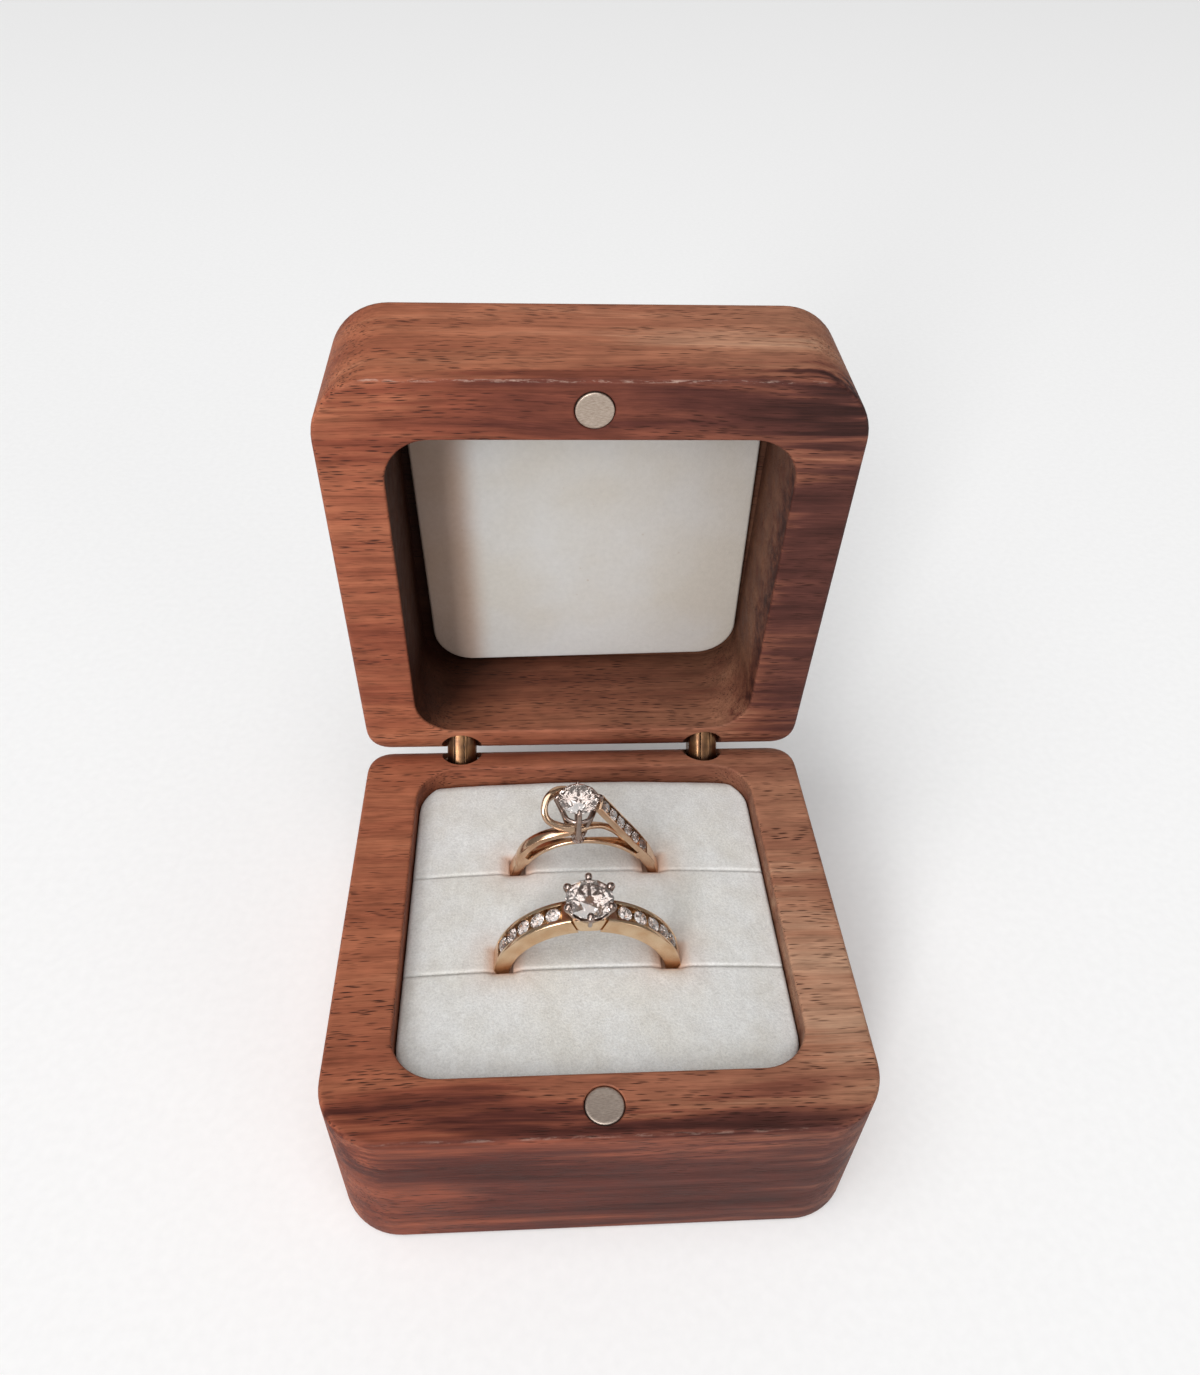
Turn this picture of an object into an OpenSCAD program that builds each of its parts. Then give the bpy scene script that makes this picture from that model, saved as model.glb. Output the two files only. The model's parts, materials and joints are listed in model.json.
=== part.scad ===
// Square walnut ring box with two double-pivot barrel hinges, magnets in the
// front rims, a three-roll velvet cushion, a card liner in the lid and two rings.
// Millimetres. Origin: centre of the base's underside, +Z up, front towards -Y.
// The lid is drawn open, as it stands on its hinge stops.

/* [Box] */
// Outer width, left to right
box_w = 56; // [52:0.5:64]
// Outer depth, front to back
box_d = 56; // [54:0.5:64]
// Height of the base block
base_h = 21.4; // [20.5:0.1:26]
// Height of the lid block
lid_h = 16.8; // [16:0.1:22]
// Radius of the four upright corners
corner_r = 7; // [3:0.5:10]
// Width of the flat rim, from the outside to the cavity
rim = 6.7; // [6.2:0.1:7.4]
// Radius of the cavity's upright corners
cavity_r = 5; // [2:0.5:8]
// Thickness of the base's floor
base_floor = 3.4; // [2.4:0.1:4]
// Thickness of the lid's top
lid_top = 2.6; // [1.6:0.1:3]
// Radius of the rounded rear edges that face each other
back_round = 6.3; // [5:0.1:6.4]
// Gap between the two rims when the box is shut
rim_gap = 0.2; // [0.1:0.05:0.5]

/* [Hinges] */
// Distance of each hinge from the box's side
hinge_inset = 12; // [10:0.5:16]
// Diameter of a brass barrel
barrel_d = 5; // [4.4:0.1:5.2]
// Length of a brass barrel
barrel_len = 9; // [6:0.5:10]
// Radial clearance of a barrel in its drilled hole
barrel_fit = 0.1; // [0.05:0.05:0.2]
// Depth of each pivot pin below its rim
pivot_depth = 2; // [1.9:0.1:2.4]
// Distance of the pivot pins in front of the barrel's axis
pivot_forward = 0.74; // [0.5:0.02:0.9]
// Diameter of a pivot pin
pin_d = 1; // [0.8:0.1:1.2]
// Half the depth of a leaf, from its pin to its edge
leaf_r = 1.66; // [1.2:0.02:1.7]
// Thickness of the inner leaf of a hinge
inner_leaf_t = 1.4; // [1:0.1:1.5]
// Thickness of the middle leaf
middle_leaf_t = 1.2; // [0.8:0.1:1.3]
// Thickness of the outer leaf
outer_leaf_t = 0.9; // [0.6:0.1:1]
// Gap between two leaves
leaf_gap = 0.1; // [0.05:0.05:0.2]
// Angle of the lid's swing from shut to its open stop
open_angle = 86; // [60:1:90]
// Share of that swing which the leaves make on the base's pins
leaf_share = 0.427; // [0.4:0.001:0.45]

/* [Magnets] */
// Diameter of a disc magnet
magnet_d = 3.9; // [3:0.1:5]
// Thickness of a disc magnet
magnet_t = 2; // [1:0.5:3]
// Radial clearance of a magnet in its hole
magnet_fit = 0.1; // [0.05:0.05:0.2]
// How far the base's magnet lies below the rim
base_magnet_drop = 0.1; // [0:0.05:0.3]
// How far the lid's magnet stands out of the rim
lid_magnet_proud = 0.08; // [0:0.02:0.15]

/* [Cushion] */
// Depth of the cushion's crown below the rim
crown_drop = 1.6; // [1.2:0.1:2.4]
// Fall of a roll's crown towards its ends
end_fall = 0.9; // [0.3:0.1:1.2]
// Radius of a roll's long top edges
roll_edge_r = 1.3; // [0.6:0.1:1.8]
// Place of the front slot, from the middle of the box
front_slot_y = -8; // [-10:0.1:-7]
// Place of the rear slot
rear_slot_y = 5.5; // [5:0.1:7]
// Width of the slots between the rolls
slot_gap = 0.2; // [0.1:0.05:0.4]
// Thickness of the card under the rolls
board_t = 1; // [0.5:0.1:1.5]
// Clearance of the cushion in the cavity
cushion_fit = 0.15; // [0.1:0.05:0.3]
// Clearance of the rings in the cushion
pocket_fit = 0.2; // [0.1:0.05:0.3]

/* [Lid liner] */
// Gap between the liner and the sides of its recess
liner_gap = 1; // [0.9:0.1:2]
// Turn of the liner in its recess
liner_turn = 1.4; // [0:0.1:1.6]
// How far the liner sits to the right of the middle
liner_shift = 0.25; // [0:0.05:0.4]
// Thickness of the liner's card
card_t = 0.8; // [0.5:0.1:1.2]
// Thickness of the liner's suede cover
suede_t = 0.4; // [0.2:0.1:0.6]

/* [Solitaire ring] */
// Finger radius of the solitaire
sol_r = 8.8; // [7.5:0.1:9]
// Thickness of its band at the sides
sol_t = 1.7; // [1.5:0.1:2]
// How much thicker the band is at the head, and thinner at the foot
sol_rise = 0.45; // [0.1:0.05:0.5]
// Width of its band at the head
sol_w = 2.9; // [2.6:0.1:3.2]
// Width of its band at the foot
sol_foot_w = 2.2; // [1.9:0.1:2.4]
// Place of the ring's middle, left to right
sol_x = -0.8; // [-3:0.1:3]
// Depth of the ring's centre below the rim
sol_sink = 4.2; // [4:0.1:5.4]
// Diameter of the centre stone
sol_stone_d = 4.8; // [4:0.1:5]
// Height of the centre stone's girdle above the finger hole
sol_stone_lift = 3.9; // [3.7:0.1:4]
// Diameter of a shoulder stone
sol_side_d = 1.7; // [1.3:0.05:1.75]
// Angle from the head to the first shoulder stone
sol_first_angle = 22; // [21:0.5:24]

/* [Twist ring] */
// Finger radius of the twist ring
tw_r = 7.9; // [7:0.1:8.2]
// Thickness of its shank
tw_t = 1.5; // [1.3:0.1:1.7]
// Width of its shank
tw_w = 2.2; // [2:0.1:2.6]
// Place of the ring's middle, left to right
tw_x = -0.6; // [-3:0.1:3]
// Depth of the ring's centre below the rim
tw_sink = 4.8; // [4.6:0.1:5.6]
// Place of the head beside the ring's middle
tw_head_x = -0.85; // [-1:0.05:-0.6]
// Diameter of the centre stone
tw_stone_d = 4.2; // [3.6:0.1:4.3]
// Height of the centre stone's girdle above the finger hole
tw_stone_lift = 6.6; // [6.4:0.1:6.7]
// Diameter of a stone on the arm
tw_side_d = 1.45; // [1.1:0.05:1.5]
// Thickness of the arm and of the scroll
tw_arm_t = 1.1; // [0.9:0.1:1.3]

/* [Hidden] */

$fn = 96;
cut = 1;                                   // overshoot of a cutting tool
walnut = "#8a5540";
walnut_pale = "#9c6449";
velvet = "#dcd8d2";
brass = "#b08a4a";
nickel = "#c9c2b4";
card = "#cfcac2";
suede = "#e6e2db";
rose_gold = "#d9a878";
white_gold = "#cfcac6";
diamond = "#eef2f5";

// Heights and half sizes that follow from the box
cav_w = box_w - 2 * rim;
cav_d = box_d - 2 * rim;
lid_cav = lid_h - lid_top;
shut_z = base_h + rim_gap;                 // the lid's rim when the box is shut

// Hinge line
hinge_x = box_w / 2 - hinge_inset;
leaf_swing = open_angle * leaf_share;      // leaves on the base's pins
lid_swing = open_angle - leaf_swing;       // lid on the leaves
hinge_y = box_d / 2 - rim / 2;
pin_y = hinge_y - pivot_forward;
base_pin_z = base_h - pivot_depth;
lid_pin_z = shut_z + pivot_depth;          // when shut
link_len = lid_pin_z - base_pin_z;
hole_r = barrel_d / 2 + barrel_fit;
barrel_recess = 0.6;                       // a barrel's end lies below the wood
leaf_side_fit = 0.1;                       // between the leaves and the barrel's cheeks
pin_fit = 0.05;                            // radial, leaf on pin
pin_press = 0.02;                          // radial, pin in cheek
leaves_w = inner_leaf_t + middle_leaf_t + outer_leaf_t + 2 * leaf_gap;
slot_w = leaves_w + 2 * leaf_side_fit;
leaf_curve_r = barrel_d / 2 - 0.08;        // the leaves' edges follow the barrel

// Cushion
cushion_w = cav_w - 2 * cushion_fit;
cushion_d = cav_d - 2 * cushion_fit;
roll_floor = base_floor + board_t;
past_wall = 0.6;                           // rolls are drawn past the walls that trim them
crown_z = base_h - crown_drop;

// Rings
sol_z = base_h - sol_sink;
sol_out = sol_r + sol_t;
sol_y = front_slot_y - slot_gap / 2 + pocket_fit + sol_w / 2;
sol_stone_z = sol_z + sol_r + sol_stone_lift;
side_depth = 0.25;                         // shoulder stones' girdle below the rails
channel_depth = 1.05;
channel_rim = 0.1;                         // channel wider than its stones
sol_side_count = 5;
side_space = 0.18;                         // between two shoulder stones
sol_pitch = (sol_side_d + side_space) / (sol_out - side_depth) * 180 / PI;
prong_r = 0.3;
prong_grip = 0.55;                         // from the girdle to a prong's tip
stone_gap = 0.04;                          // between a stone's girdle and its prongs
gallery_r = 0.25;
head_gap = 0.1;                            // between a head and its band
tw_z = base_h - tw_sink;
tw_out = tw_r + tw_t;
tw_y = rear_slot_y - slot_gap / 2 + pocket_fit + tw_w / 2;
tw_stone_x = tw_x + tw_head_x;
tw_stone_z = tw_z + tw_r + tw_stone_lift;

// A rectangle with round corners, centred
module round_rect(w, d, r) {
    square([w - 2 * r, d], center = true);
    square([w, d - 2 * r], center = true);
    for (x = [-1, 1], y = [-1, 1])
        translate([x * (w / 2 - r), y * (d / 2 - r)]) circle(r);
}

// Turns what is drawn in X and Y into an upright slice with its Y as Z,
// reaching from y0 to y1
module upright(y0, y1) {
    translate([0, y1, 0]) rotate([90, 0, 0]) linear_extrude(y1 - y0) children();
}

// A straight round rod between two points
module rod(a, b, r) {
    v = b - a;
    len = norm(v);
    translate(a)
        rotate([0, acos(v[2] / len), atan2(v[1], v[0])])
            cylinder(h = len, r = r, $fn = 24);
}

// Places of the shut lid's parts on the open, stopped lid
module opened() {
    translate([0, pin_y, base_pin_z]) rotate([-leaf_swing, 0, 0])
        translate([0, 0, link_len]) rotate([-lid_swing, 0, 0])
            translate([0, -pin_y, -lid_pin_z]) children();
}

// Places of the shut leaves on the open hinge
module leaves_opened() {
    translate([0, pin_y, base_pin_z]) rotate([-leaf_swing, 0, 0])
        translate([0, -pin_y, -base_pin_z]) children();
}

// Cut that rounds a rear mating edge: drawn for an edge at z = 0 with the
// block below it
module back_edge_cut(extra = 0) {
    r = back_round;
    translate([-box_w, box_d / 2 - r, -r]) difference() {
        cube([2 * box_w, r + cut, r + cut]);
        rotate([0, 90, 0]) cylinder(h = 2 * box_w, r = r - extra);
    }
}

// One half of the box, drawn with its rim at z = 0 and its body below
module milled_half(h, cavity) {
    difference() {
        translate([0, 0, -h]) linear_extrude(h) round_rect(box_w, box_d, corner_r);
        translate([0, 0, -cavity]) linear_extrude(cavity + cut)
            round_rect(cav_w, cav_d, cavity_r);
        back_edge_cut();
        for (x = [-1, 1])
            translate([x * hinge_x, hinge_y, -barrel_recess - barrel_len])
                cylinder(h = barrel_len + cut + barrel_recess, r = hole_r);
    }
}

module magnet_hole(depth) {
    translate([0, -(box_d - rim) / 2, -depth])
        cylinder(h = depth + cut, r = magnet_d / 2 + magnet_fit);
}

module base_box() {
    color(walnut) translate([0, 0, base_h]) difference() {
        milled_half(base_h, base_h - base_floor);
        magnet_hole(magnet_t + base_magnet_drop);
    }
}

module lid_box() {
    color(walnut_pale) opened() translate([0, 0, shut_z]) mirror([0, 0, 1]) difference() {
        milled_half(lid_h, lid_cav);
        magnet_hole(magnet_t - lid_magnet_proud);
    }
}

module base_magnet() {
    color(nickel)
        translate([0, -(box_d - rim) / 2, base_h - base_magnet_drop - magnet_t])
            cylinder(h = magnet_t, r = magnet_d / 2);
}

module lid_magnet() {
    color(nickel) opened()
        translate([0, -(box_d - rim) / 2, shut_z - lid_magnet_proud])
            cylinder(h = magnet_t, r = magnet_d / 2);
}

// The cushion: a card below three rolls, each with a crown that falls
// towards its ends and has rounded long edges
module cushion_board() {
    color(card) translate([0, 0, base_floor])
        linear_extrude(board_t) round_rect(cushion_w, cushion_d, cavity_r - cushion_fit);
}

// Outline of a roll seen from its end, from y0 to y1
module roll_end(y0, y1) {
    r = roll_edge_r;
    h = crown_z - roll_floor;
    translate([(y0 + y1) / 2, roll_floor]) {
        translate([-(y1 - y0) / 2, 0]) square([y1 - y0, h - r]);
        translate([-(y1 - y0) / 2 + r, 0]) square([y1 - y0 - 2 * r, h]);
        for (s = [-1, 1])
            translate([s * ((y1 - y0) / 2 - r), h - r]) circle(r);
    }
}

// Outline of the cushion seen from the front, with its crown as an arc that
// runs on past the cavity's walls
module crown_front() {
    half = cushion_w / 2;
    r = (half * half + end_fall * end_fall) / (2 * end_fall);
    intersection() {
        translate([-half - past_wall, roll_floor])
            square([cushion_w + 2 * past_wall, crown_z - roll_floor]);
        translate([0, crown_z - r]) circle(r, $fn = 360);
    }
}

module roll(y0, y1) {
    intersection() {
        rotate([90, 0, 90]) translate([0, 0, -cushion_w / 2 - past_wall])
            linear_extrude(cushion_w + 2 * past_wall) roll_end(y0, y1);
        upright(-cushion_d, cushion_d) crown_front();
        linear_extrude(base_h) round_rect(cushion_w, cushion_d, cavity_r - cushion_fit);
    }
}

// Room for a ring that stands in the cushion
module ring_pocket(x, y, z, inner, outer, w, rise = 0) {
    translate([x, y + w / 2 + pocket_fit, z]) rotate([90, 0, 0])
        linear_extrude(w + 2 * pocket_fit) difference() {
            translate([0, rise]) circle(outer + pocket_fit);
            circle(inner - pocket_fit);
        }
}

module front_roll() {
    color(velvet) roll(-cushion_d / 2 - past_wall, front_slot_y - slot_gap / 2);
}

module middle_roll() {
    color(velvet) difference() {
        roll(front_slot_y + slot_gap / 2, rear_slot_y - slot_gap / 2);
        ring_pocket(sol_x, sol_y, sol_z, sol_r, sol_out, sol_w, sol_rise);
    }
}

module rear_roll() {
    color(velvet) difference() {
        roll(rear_slot_y + slot_gap / 2, cushion_d / 2 + past_wall);
        ring_pocket(tw_x, tw_y, tw_z, tw_r, tw_out, tw_w);
    }
}

// Liner: a card with a suede cover, glued to the lid's ceiling
module liner_layer(depth, t) {
    opened() translate([liner_shift, 0, shut_z + depth]) rotate([0, 0, -liner_turn])
        linear_extrude(t)
            round_rect(cav_w - 2 * liner_gap, cav_d - 2 * liner_gap, cavity_r);
}

module liner_card() {
    color(card) liner_layer(lid_cav - card_t, card_t);
}

module liner_suede() {
    color(suede) liner_layer(lid_cav - card_t - suede_t, suede_t);
}

// A hinge barrel below a rim at z = 0, with the slot that its leaves turn in
module barrel_shape() {
    slot_floor = -pivot_depth - leaf_r - leaf_side_fit;
    translate([0, hinge_y, 0]) difference() {
        translate([0, 0, -barrel_recess - barrel_len]) cylinder(h = barrel_len, r = barrel_d / 2);
        translate([-slot_w / 2, -barrel_d, slot_floor])
            cube([slot_w, 2 * barrel_d, -slot_floor + cut]);
        translate([-barrel_d, -pivot_forward, -pivot_depth]) rotate([0, 90, 0])
            cylinder(h = 2 * barrel_d, r = pin_d / 2 + pin_press);
        translate([0, -hinge_y, 0]) back_edge_cut(barrel_recess);
    }
}

module base_barrel(side) {
    color(brass) translate([side * hinge_x, 0, base_h]) barrel_shape();
}

module lid_barrel(side) {
    color(brass) opened() translate([side * hinge_x, 0, shut_z]) mirror([0, 0, 1]) barrel_shape();
}

module pin(side, z) {
    half = slot_w / 2 + 0.2;
    color(brass) translate([side * hinge_x - half, pin_y, z]) rotate([0, 90, 0])
        cylinder(h = 2 * half, r = pin_d / 2);
}

module lid_pin(side) {
    opened() pin(side, lid_pin_z);
}

// Round bar about a barrel's axis that a shut leaf fits in
module leaf_bar() {
    translate([0, hinge_y, -lid_h]) cylinder(h = base_h + 3 * lid_h, r = leaf_curve_r);
}

// Room that one end of a shut leaf has: the bar as it lies when the leaf is
// swung by an angle about the pin at height z, and all that is past that pin
module leaf_end_room(z, angle) {
    translate([0, pin_y, z]) rotate([angle, 0, 0]) translate([0, -pin_y, -z]) leaf_bar();
    translate([0, pin_y, z + (angle > 0 ? link_len : -link_len)])
        cube([2 * barrel_d, 2 * barrel_d, 2 * link_len], center = true);
}

// A leaf that reaches from x0 to x1 beside the hinge's own middle
module leaf(side, x0, x1) {
    color(brass) leaves_opened() translate([side * hinge_x, 0, 0]) difference() {
        intersection() {
            translate([min(side * x0, side * x1), pin_y, base_pin_z]) rotate([90, 0, 90])
                linear_extrude(x1 - x0) {
                    translate([-leaf_r, 0]) square([2 * leaf_r, link_len]);
                    circle(leaf_r);
                    translate([0, link_len]) circle(leaf_r);
                }
            leaf_bar();
            leaf_end_room(base_pin_z, leaf_swing);
            leaf_end_room(lid_pin_z, -lid_swing);
        }
        for (z = [base_pin_z, lid_pin_z])
            translate([-barrel_d, pin_y, z]) rotate([0, 90, 0])
                cylinder(h = 2 * barrel_d, r = pin_d / 2 + pin_fit);
    }
}

module inner_leaf(side) {
    leaf(side, -leaves_w / 2, -leaves_w / 2 + inner_leaf_t);
}

module middle_leaf(side) {
    x0 = -leaves_w / 2 + inner_leaf_t + leaf_gap;
    leaf(side, x0, x0 + middle_leaf_t);
}

module outer_leaf(side) {
    leaf(side, leaves_w / 2 - outer_leaf_t, leaves_w / 2);
}

// A round brilliant with its girdle's middle at z = 0
module brilliant(d) {
    r = d / 2;
    girdle = 0.03 * d;
    crown = 0.15 * d;
    hull() {
        cylinder(h = girdle, r = r, center = true, $fn = 16);
        translate([0, 0, girdle / 2]) rotate(22.5) cylinder(h = crown, r1 = r * 0.9, r2 = r * 0.56, $fn = 8);
        translate([0, 0, girdle / 2]) cylinder(h = crown * 0.62, r1 = r * 0.9, r2 = r * 0.8, $fn = 8);
        translate([0, 0, -0.43 * d]) cylinder(h = 0.02 * d, r = 0.02 * d, $fn = 8);
    }
}

// A prong that leans out from (r0, z0) to (r1, z1) at the girdle and grips the
// crown at tip_z
module prong(r0, z0, r1, z1, tip_z) {
    lean_in = prong_r / 2;
    rod([r0, 0, z0], [r1, 0, z1], prong_r);
    rod([r1, 0, z1], [r1 - lean_in, 0, tip_z], prong_r);
    translate([r1, 0, z1]) sphere(prong_r * 1.05, $fn = 24);
    translate([r1 - lean_in, 0, tip_z]) sphere(prong_r * 1.25, $fn = 24);
}

// A wire that joins the prongs at height z
module gallery(r0, z0, r1, z1, z) {
    r = r0 + (r1 - r0) * (z - z0) / (z1 - z0);
    translate([0, 0, z]) rotate_extrude() translate([r, 0]) circle(gallery_r, $fn = 24);
}

// What a head of prongs takes out of the band, from its foot upwards
module head_room(foot_r, foot_z, prong_at, z1) {
    reach = prong_at + prong_r + head_gap;
    translate([0, 0, foot_z]) cylinder(h = z1 - foot_z, r1 = foot_r + head_gap, r2 = reach);
    translate([0, 0, z1]) cylinder(h = sol_stone_d, r = reach);
}

// Turns a piece about the ring's axis, clockwise from the head
module around(x, y, z, angle) {
    translate([x, y, z]) rotate([0, angle, 0]) children();
}

// Solitaire. Its band is cut through at the head, where a V-shaped block that
// carries six prongs fills the cut.
sol_block_half = sol_r * [0.13, 0.233];    // half width at the finger hole and at the top
sol_block_h = sol_t + sol_rise - 0.05;
sol_block_z = sol_z + sol_r + 0.05;
sol_block_w = sol_w - 0.1;
sol_hollow_r = sol_w * [0.2, 0.36];
sol_prong_r = 1.4;                         // the prongs' place at their foot
sol_prong_z = sol_block_z + 0.95;
sol_prong_at = sol_stone_d / 2 + prong_r + stone_gap;
sol_gallery_drop = 1.1;                    // below the girdle

// The block's outline grown by an extra on each side, from below its foot by
// the depth d to above its top by the same
module block_outline(extra, d) {
    a = sol_block_half[0] + extra;
    b = sol_block_half[1] + extra;
    h = sol_block_h;
    translate([sol_x, sol_block_z])
        polygon([[-a, -d], [a, -d], [a, 0], [b, h], [b, h + d], [-b, h + d], [-b, h], [-a, 0]]);
}

module solitaire_channel(sign) {
    from = sol_first_angle - sol_pitch / 2 - 0.6;
    to = sol_first_angle + (sol_side_count - 0.5) * sol_pitch + 0.6;
    w = sol_side_d + 2 * channel_rim;
    translate([sol_x, sol_y, sol_z + sol_rise]) rotate([90, 0, 0])
        rotate([0, 0, sign > 0 ? 90 - to : 90 + from])
            rotate_extrude(angle = to - from)
                translate([sol_out - channel_depth, -w / 2])
                    square([channel_depth + cut, w]);
}

module solitaire_band() {
    color(rose_gold) difference() {
        intersection() {
            translate([sol_x, sol_y + sol_w / 2, sol_z]) rotate([90, 0, 0])
                linear_extrude(sol_w) difference() {
                    translate([0, sol_rise]) circle(sol_out);
                    circle(sol_r);
                }
            translate([sol_x - sol_out - cut, sol_y, sol_z]) rotate([90, 0, 90])
                linear_extrude(2 * sol_out + 2 * cut) polygon([
                    [-sol_foot_w / 2, -sol_out - cut], [sol_foot_w / 2, -sol_out - cut],
                    [sol_w / 2, sol_out + sol_rise], [-sol_w / 2, sol_out + sol_rise]]);
        }
        solitaire_channel(-1);
        solitaire_channel(1);
        upright(sol_y - sol_w, sol_y + sol_w) block_outline(head_gap / 2, cut);
    }
}

module solitaire_head() {
    color(white_gold) difference() {
        union() {
            upright(sol_y - sol_block_w / 2, sol_y + sol_block_w / 2) block_outline(0, 0);
            translate([sol_x, sol_y, 0]) {
                for (a = [0:5])
                    rotate([0, 0, 30 + 60 * a])
                        prong(sol_prong_r, sol_prong_z, sol_prong_at, sol_stone_z,
                              sol_stone_z + prong_grip);
                gallery(sol_prong_r, sol_prong_z, sol_prong_at, sol_stone_z,
                        sol_stone_z - sol_gallery_drop);
            }
        }
        translate([sol_x, sol_y, sol_block_z + sol_block_h / 2])
            cylinder(h = sol_block_h, r1 = sol_hollow_r[0], r2 = sol_hollow_r[1]);
    }
}

module solitaire_stone() {
    color(diamond) translate([sol_x, sol_y, sol_stone_z]) brilliant(sol_stone_d);
}

module solitaire_side_stones() {
    color(diamond) for (s = [-1, 1], i = [0:sol_side_count - 1])
        around(sol_x, sol_y, sol_z + sol_rise, s * (sol_first_angle + i * sol_pitch))
            translate([0, 0, sol_out - side_depth]) brilliant(sol_side_d);
}

// Twist ring. Places are measured from the ring's centre, X right and Z up.
bridge_t = 0.85;                           // thin strand under the head
strand_r = 0.886 * tw_r;                   // left strand, an arc about its own centre
strand_t = 0.146 * tw_r;
strand_at = tw_r * [-0.165, 0.494];
strand_y_back = 0.5;                       // strand narrower than the shank behind
arm_top = tw_r * [0.2785, 1.709];          // right arm, from the head to the shank
arm_foot = tw_r * [0.981, 0.69];
arm_len = norm(arm_foot - arm_top);
arm_angle = atan2(arm_top[1] - arm_foot[1], arm_foot[0] - arm_top[0]);
arm_space = 0.13;                          // between two of its stones
arm_pitch = tw_side_d + arm_space;
arm_ends = [0.15, 0.05];                   // metal beyond the channel, head and shank
arm_count = floor((arm_len - arm_ends[0] - arm_ends[1]) / arm_pitch);
arm_channel = 0.85;
arm_stone_drop = 0.18;                     // its stones' girdles below its rails
tw_foot_z = tw_z + tw_r + bridge_t - 0.1;  // flat on the bridge for the head
tw_foot_r = 1;
tw_foot_h = 0.6;
tw_prong_r = 0.75;                         // the prongs' place at their foot
tw_prong_z = tw_foot_z + 0.4;
tw_prong_at = tw_stone_d / 2 + prong_r + stone_gap;
tw_gallery_drop = 2.1;                     // below the girdle

// Middle of the scroll, from the strand round the left of the head and behind
// it into the top of the arm. Each stop is a bearing about the head, a distance
// out from the stone's edge and a height above its girdle, both as shares of
// the stone's diameter.
scroll_stops = [[222, 0.012, -0.655], [212, 0.131, -0.52], [200, 0.226, -0.295], [185, 0.243, -0.14],
                [165, 0.238, -0.1], [140, 0.238, -0.214], [115, 0.219, -0.314], [90, 0.207, -0.374],
                [65, 0.207, -0.371], [40, 0.214, -0.393], [18, 0.226, -0.44], [0, 0.238, -0.5]];
scroll_path = [for (p = scroll_stops)
    let (out = tw_stone_d * (0.5 + p[1])) [out * cos(p[0]), out * sin(p[0]), tw_stone_d * p[2]]];
scroll_steps = 4;                          // rings to each stretch of the path
scroll_half = [0.42, 0.6];                 // half thickness and half breadth
scroll_sides = 10;

function unit(v) = v / norm(v);

// A smooth curve through the points p, with n steps to each stretch
function smooth(p, n) = concat([for (i = [0:len(p) - 2], k = [0:n - 1])
    let (a = p[max(i - 1, 0)], b = p[i], c = p[i + 1], d = p[min(i + 2, len(p) - 1)], t = k / n)
    (2 * b + (c - a) * t + (2 * a - 5 * b + 4 * c - d) * t * t
        + (3 * b - a - 3 * c + d) * t * t * t) / 2], [p[len(p) - 1]]);

// A bar of oval section along a path, its thin way pointing away from the Z axis
module ribbon(path, half, sides) {
    last = len(path) - 1;
    rings = [for (i = [0:last])
        let (t = unit(path[min(i + 1, last)] - path[max(i - 1, 0)]),
             away = [path[i][0], path[i][1], 0],
             out = unit(away - (away * t) * t),
             up = cross(t, out))
        for (k = [0:sides - 1])
            path[i] + half[0] * cos(360 * k / sides) * out + half[1] * sin(360 * k / sides) * up];
    walls = [for (i = [0:last - 1], k = [0:sides - 1])
        let (a = i * sides + k, b = i * sides + (k + 1) % sides)
        each [[a, b, b + sides], [a, b + sides, a + sides]]];
    caps = [for (k = [1:sides - 2])
        each [[0, k + 1, k], [last * sides, last * sides + k, last * sides + k + 1]]];
    polyhedron(rings, concat(walls, caps));
}

module sector(r, from, to) {
    steps = 12;
    polygon(concat([[0, 0]], [for (i = [0:steps])
        let (a = from + (to - from) * i / steps) 2 * r * [sin(a), cos(a)]]));
}

module ring_slice(r0, r1) {
    difference() {
        circle(r1);
        circle(r0);
    }
}

module twist_head_room() {
    translate([tw_stone_x, tw_y, 0])
        head_room(tw_foot_r, tw_foot_z, tw_prong_at, tw_stone_z);
}

// Places a piece on the arm: X runs down it from the head and Z stands on it
module on_arm() {
    translate([tw_x + arm_top[0], tw_y, tw_z + arm_top[1]]) rotate([0, arm_angle, 0]) children();
}

module twist_channel() {
    w = tw_side_d + 2 * channel_rim;
    on_arm() translate([arm_ends[0], -w / 2, -arm_channel])
        cube([arm_count * arm_pitch, w, arm_channel + cut]);
}

module twist_shank() {
    upright(-tw_w / 2, tw_w / 2) {
        difference() {
            ring_slice(tw_r, tw_out);
            sector(tw_out, -52, 46);
        }
        ring_slice(tw_r, tw_r + bridge_t);
    }
}

module twist_strand() {
    upright(-tw_w / 2, tw_w / 2 - strand_y_back)
        intersection() {
            translate(strand_at) ring_slice(strand_r - strand_t, strand_r);
            sector(tw_out, -62, 40);
            difference() {
                circle(2 * tw_out);
                circle(tw_r);
            }
        }
}

module twist_band() {
    color(rose_gold) difference() {
        union() {
            translate([tw_x, tw_y, tw_z]) {
                twist_shank();
                twist_strand();
            }
            on_arm() translate([0, -tw_w / 2, -tw_arm_t]) cube([arm_len, tw_w, tw_arm_t]);
        }
        twist_channel();
        twist_head_room();
    }
}

module twist_scroll() {
    color(rose_gold) difference() {
        translate([tw_stone_x, tw_y, tw_stone_z])
            ribbon(smooth(scroll_path, scroll_steps), scroll_half, scroll_sides);
        twist_band();
        twist_channel();
        twist_head_room();
    }
}

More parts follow.
